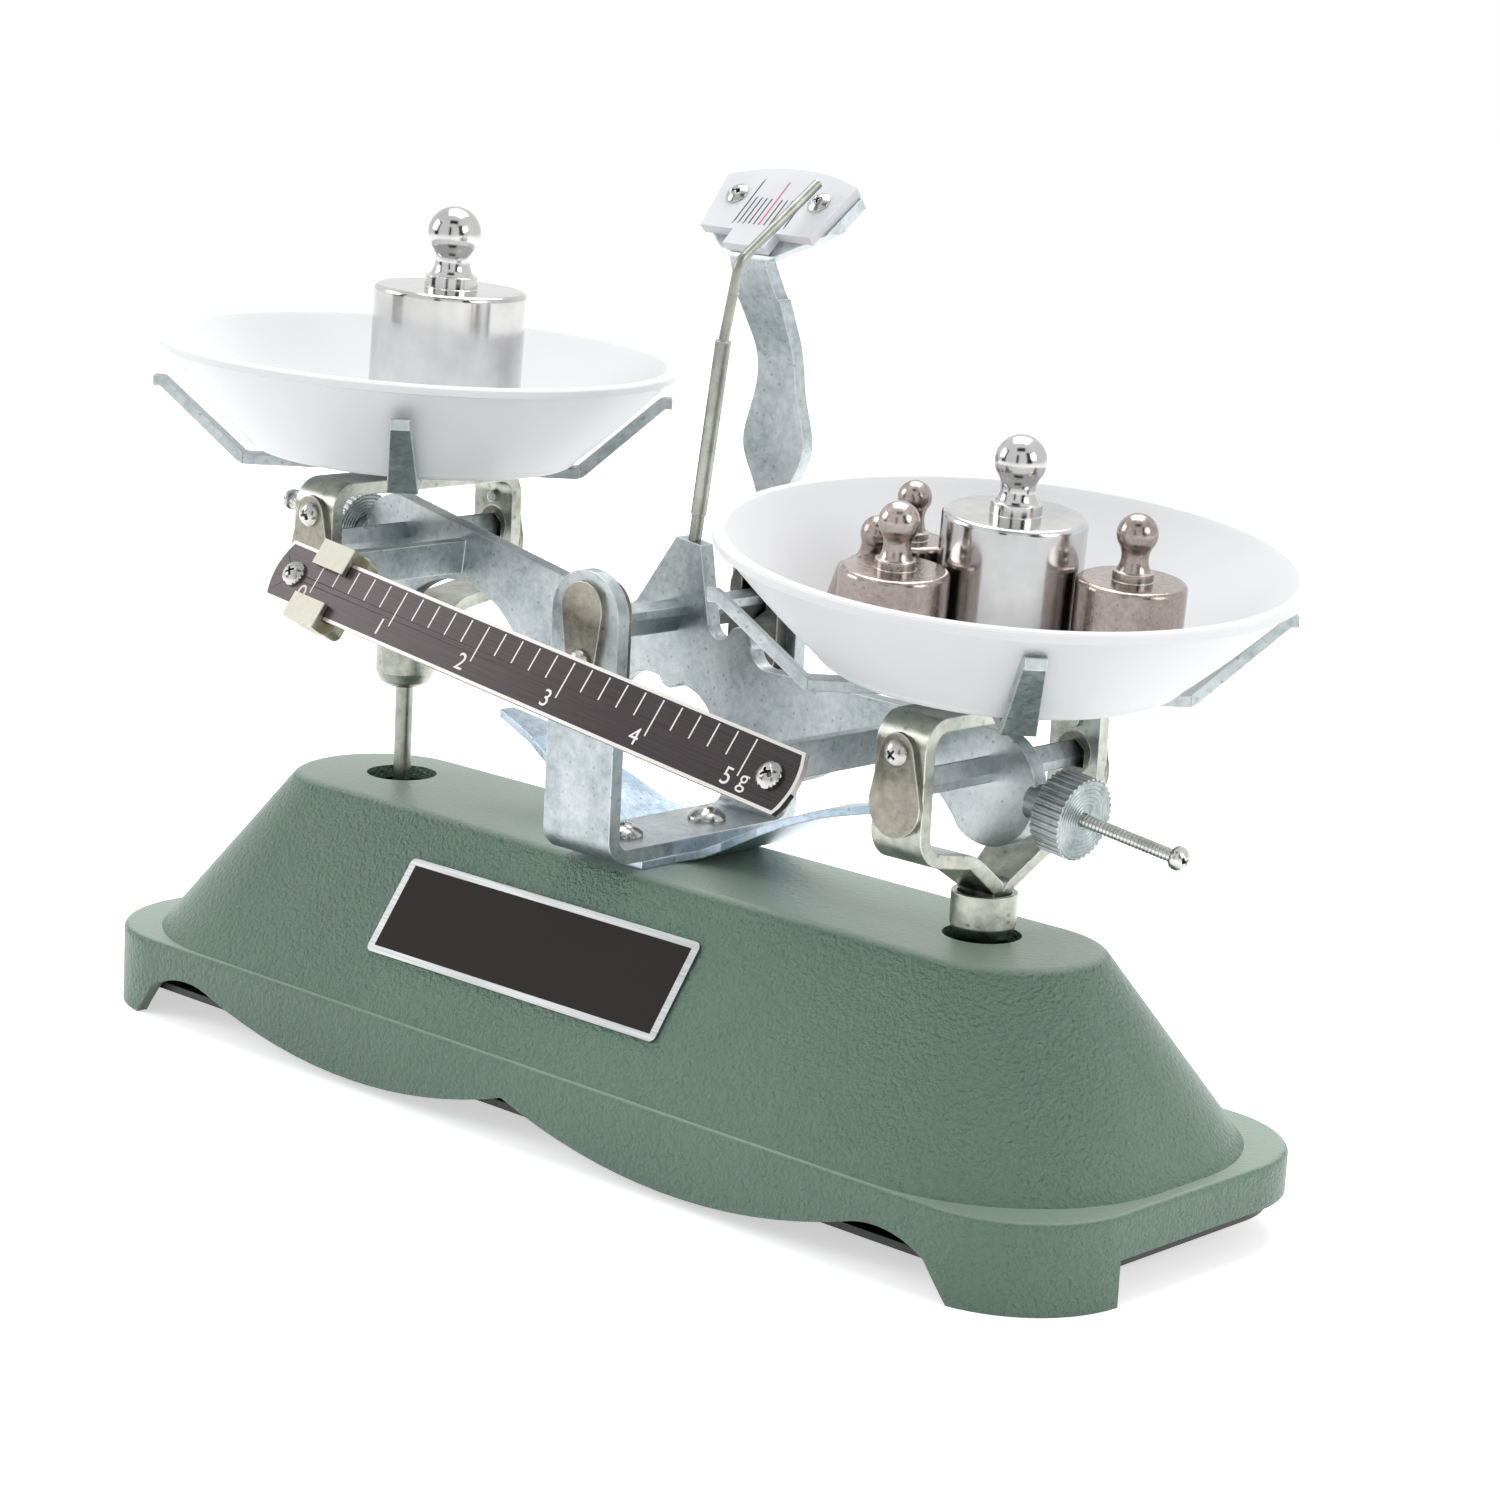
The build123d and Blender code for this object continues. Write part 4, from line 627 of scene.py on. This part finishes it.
lip_tone = add_node(tree, "Mix", {"Factor": speckle.outputs["Fac"], "A": linear("#e0ddc8"),
                                  "B": linear("#f5f3e2")},
                    data_type="RGBA")
colour = add_node(tree, "Mix", {"Factor": front.outputs[0], "A": back_tone.outputs["Result"],
                                "B": lip_tone.outputs["Result"]}, data_type="RGBA")
metal = add_node(tree, "Math", {0: 1.0, 1: front.outputs[0]}, operation="SUBTRACT")
bump = add_node(tree, "Bump", {"Height": speckle.outputs["Fac"], "Strength": 0.3, "Distance": 0.08 * MM})
shader = add_node(tree, "BsdfPrincipled", {"Base Color": colour.outputs["Result"],
                                           "Metallic": metal.outputs[0],
                                           "Roughness": 0.4, "Normal": bump.outputs["Normal"]})
tree.links.new(shader.outputs[0], output.inputs["Surface"])
dress(nodes["rider"], rider_finish)

# Pans: shallow dishes moulded from milky polypropylene.
# Light soaks a little way in, so they look soft and hardly shaded.
milky_plastic, tree, output, place = new_material("milky_polypropylene")
haze = add_node(tree, "TexNoise", {"Vector": place, "Scale": 25, "Detail": 2})
tone = add_node(tree, "Mix", {"Factor": haze.outputs["Fac"], "A": linear("#e0e1e3"), "B": linear("#ebecee")},
                data_type="RGBA")
fine = add_node(tree, "TexNoise", {"Vector": place, "Scale": 1800, "Detail": 1})
bump = add_node(tree, "Bump", {"Height": fine.outputs["Fac"], "Strength": 0.05, "Distance": 0.05 * MM})
shader = add_node(tree, "BsdfPrincipled", {"Base Color": tone.outputs["Result"], "Roughness": 0.42,
                                           "IOR": 1.49,
                                           "Subsurface Weight": 0.4, "Subsurface Radius": (1, 1, 1),
                                           "Subsurface Scale": 1.5 * MM,
                                           "Normal": bump.outputs["Normal"]})
tree.links.new(shader.outputs[0], output.inputs["Surface"])
for name in ("left_pan", "right_pan"):
    dress(nodes[name], milky_plastic)

# Weights: turned brass, nickel plated; the two large ones polished like a mirror, the small ones
# duller, pinkish and full of tiny pits.
polished_nickel = plated_metal("polished_nickel", "#b9b8b8", "#cfcfce", 0.13, 0.04, grain=6.0)
dull_nickel = plated_metal("dull_nickel", "#978b86", "#b9aea8", 0.19, 0.45, grain=0.9)
for name in ("weight_large", "weight_half"):
    dress(nodes[name], polished_nickel)
for name in ("weight_fifth_rear", "weight_fifth_front", "weight_tenth", "weight_twentieth"):
    dress(nodes[name], dull_nickel)

# Studio: a pale sweep, one large soft lamp above and two weak ones beside, and a white surround.
# Four black cards, which only the shiny metal sees, give it its dark bands.
aim = Vector((0, 0, 0.06))
bpy.ops.object.select_all(action="DESELECT")
bpy.ops.mesh.primitive_plane_add(size=6, location=(0, 0, 0))
floor = bpy.context.active_object
floor.name = "studio_floor"
floor_paper, tree, output, place = new_material("studio_paper")
shader = add_node(tree, "BsdfDiffuse", {"Color": linear("#fbfbfb")})
glow = add_node(tree, "Emission", {"Color": (1, 1, 1, 1), "Strength": 0.55})
rays = add_node(tree, "LightPath")
seen = add_node(tree, "Math", {0: rays.outputs["Is Camera Ray"], 1: rays.outputs["Is Glossy Ray"]},
                operation="MAXIMUM")
lit = add_node(tree, "AddShader", {0: shader.outputs[0], 1: glow.outputs[0]})
paper = add_node(tree, "MixShader", {0: seen.outputs[0], 1: shader.outputs[0], 2: lit.outputs[0]})
tree.links.new(paper.outputs[0], output.inputs["Surface"])
dress(floor, floor_paper)

world = bpy.data.worlds.new("studio_world")
bpy.context.scene.world = world
world.use_nodes = True
tree = world.node_tree
tree.nodes.clear()
output = add_node(tree, "OutputWorld")
rays = add_node(tree, "LightPath")
seen = add_node(tree, "Math", {0: rays.outputs["Is Camera Ray"], 1: rays.outputs["Is Transmission Ray"]},
                operation="MAXIMUM")
seen = add_node(tree, "Math", {0: seen.outputs[0], 1: rays.outputs["Is Glossy Ray"]}, operation="MAXIMUM")
strength = add_node(tree, "MapRange", {"Value": seen.outputs[0], "To Min": 0.55, "To Max": 1.0})
surround = add_node(tree, "Background", {"Color": (1, 1, 1, 1), "Strength": strength.outputs["Result"]})
tree.links.new(surround.outputs[0], output.inputs["Surface"])


def dark_card(name, place, width, height):
    """A black card that only the shiny metal sees, so that its curves show dark bands."""
    bpy.ops.object.select_all(action="DESELECT")
    bpy.ops.mesh.primitive_plane_add(size=1, location=place)
    card = bpy.context.active_object
    card.name = name
    card.scale = (width, height, 1)
    card.rotation_euler = (aim - Vector(place)).to_track_quat("Z", "Y").to_euler()
    card.visible_camera = False
    card.visible_diffuse = False
    card.visible_shadow = False
    dress(card, card_paper)


card_paper, tree, output, place = new_material("black_card")
shader = add_node(tree, "BsdfDiffuse", {"Color": linear("#26292a")})
tree.links.new(shader.outputs[0], output.inputs["Surface"])
dark_card("card_left", (-0.75, -0.9, 0.3), 0.45, 1.3)
dark_card("card_right", (1.15, -0.25, 0.3), 0.5, 1.3)
dark_card("card_front", (0.55, -1.15, 0.2), 0.22, 1.2)
dark_card("card_high", (0.45, -0.55, 1.1), 0.7, 0.35)


def soft_lamp(name, place, size, power):
    """A square soft lamp aimed at the middle of the balance."""
    bpy.ops.object.light_add(type="AREA", location=place)
    lamp = bpy.context.active_object
    lamp.name = name
    lamp.data.size = size
    lamp.data.energy = power
    lamp.rotation_euler = (aim - Vector(place)).to_track_quat("-Z", "Y").to_euler()


soft_lamp("lamp_above", (-0.15, 0.25, 0.9), 0.7, 6.5)
soft_lamp("lamp_left", (-0.8, -0.6, 0.5), 0.5, 3.0)
soft_lamp("lamp_right", (0.9, 0.1, 0.45), 0.4, 2.0)

# Camera: at the photograph's own angle, found from the rims of the pans and the base.
# The focal length is in the picture's own pixels, turned to millimetres on the sensor.
distance, focal_pixels, picture_pixels, sensor = 549.9, 3757.41, 1500, 36
turn, rise, roll = radians(42.295), radians(12.3), radians(3.003)
back = Vector((sin(turn) * cos(rise), -cos(turn) * cos(rise), sin(rise)))
target = Vector((14.871 * MM, 0, 56.722 * MM))
bpy.ops.object.camera_add(location=target + back * distance * MM)
camera = bpy.context.active_object
upright = (-back).to_track_quat("-Z", "Y").to_matrix()
camera.rotation_euler = (upright @ Matrix.Rotation(roll, 3, "Z")).to_euler()
camera.data.sensor_fit = "AUTO"
camera.data.sensor_width = sensor
camera.data.lens = sensor * focal_pixels / picture_pixels
camera.data.clip_start = 0.01
bpy.context.scene.camera = camera
bpy.context.scene.view_settings.view_transform = "Standard"
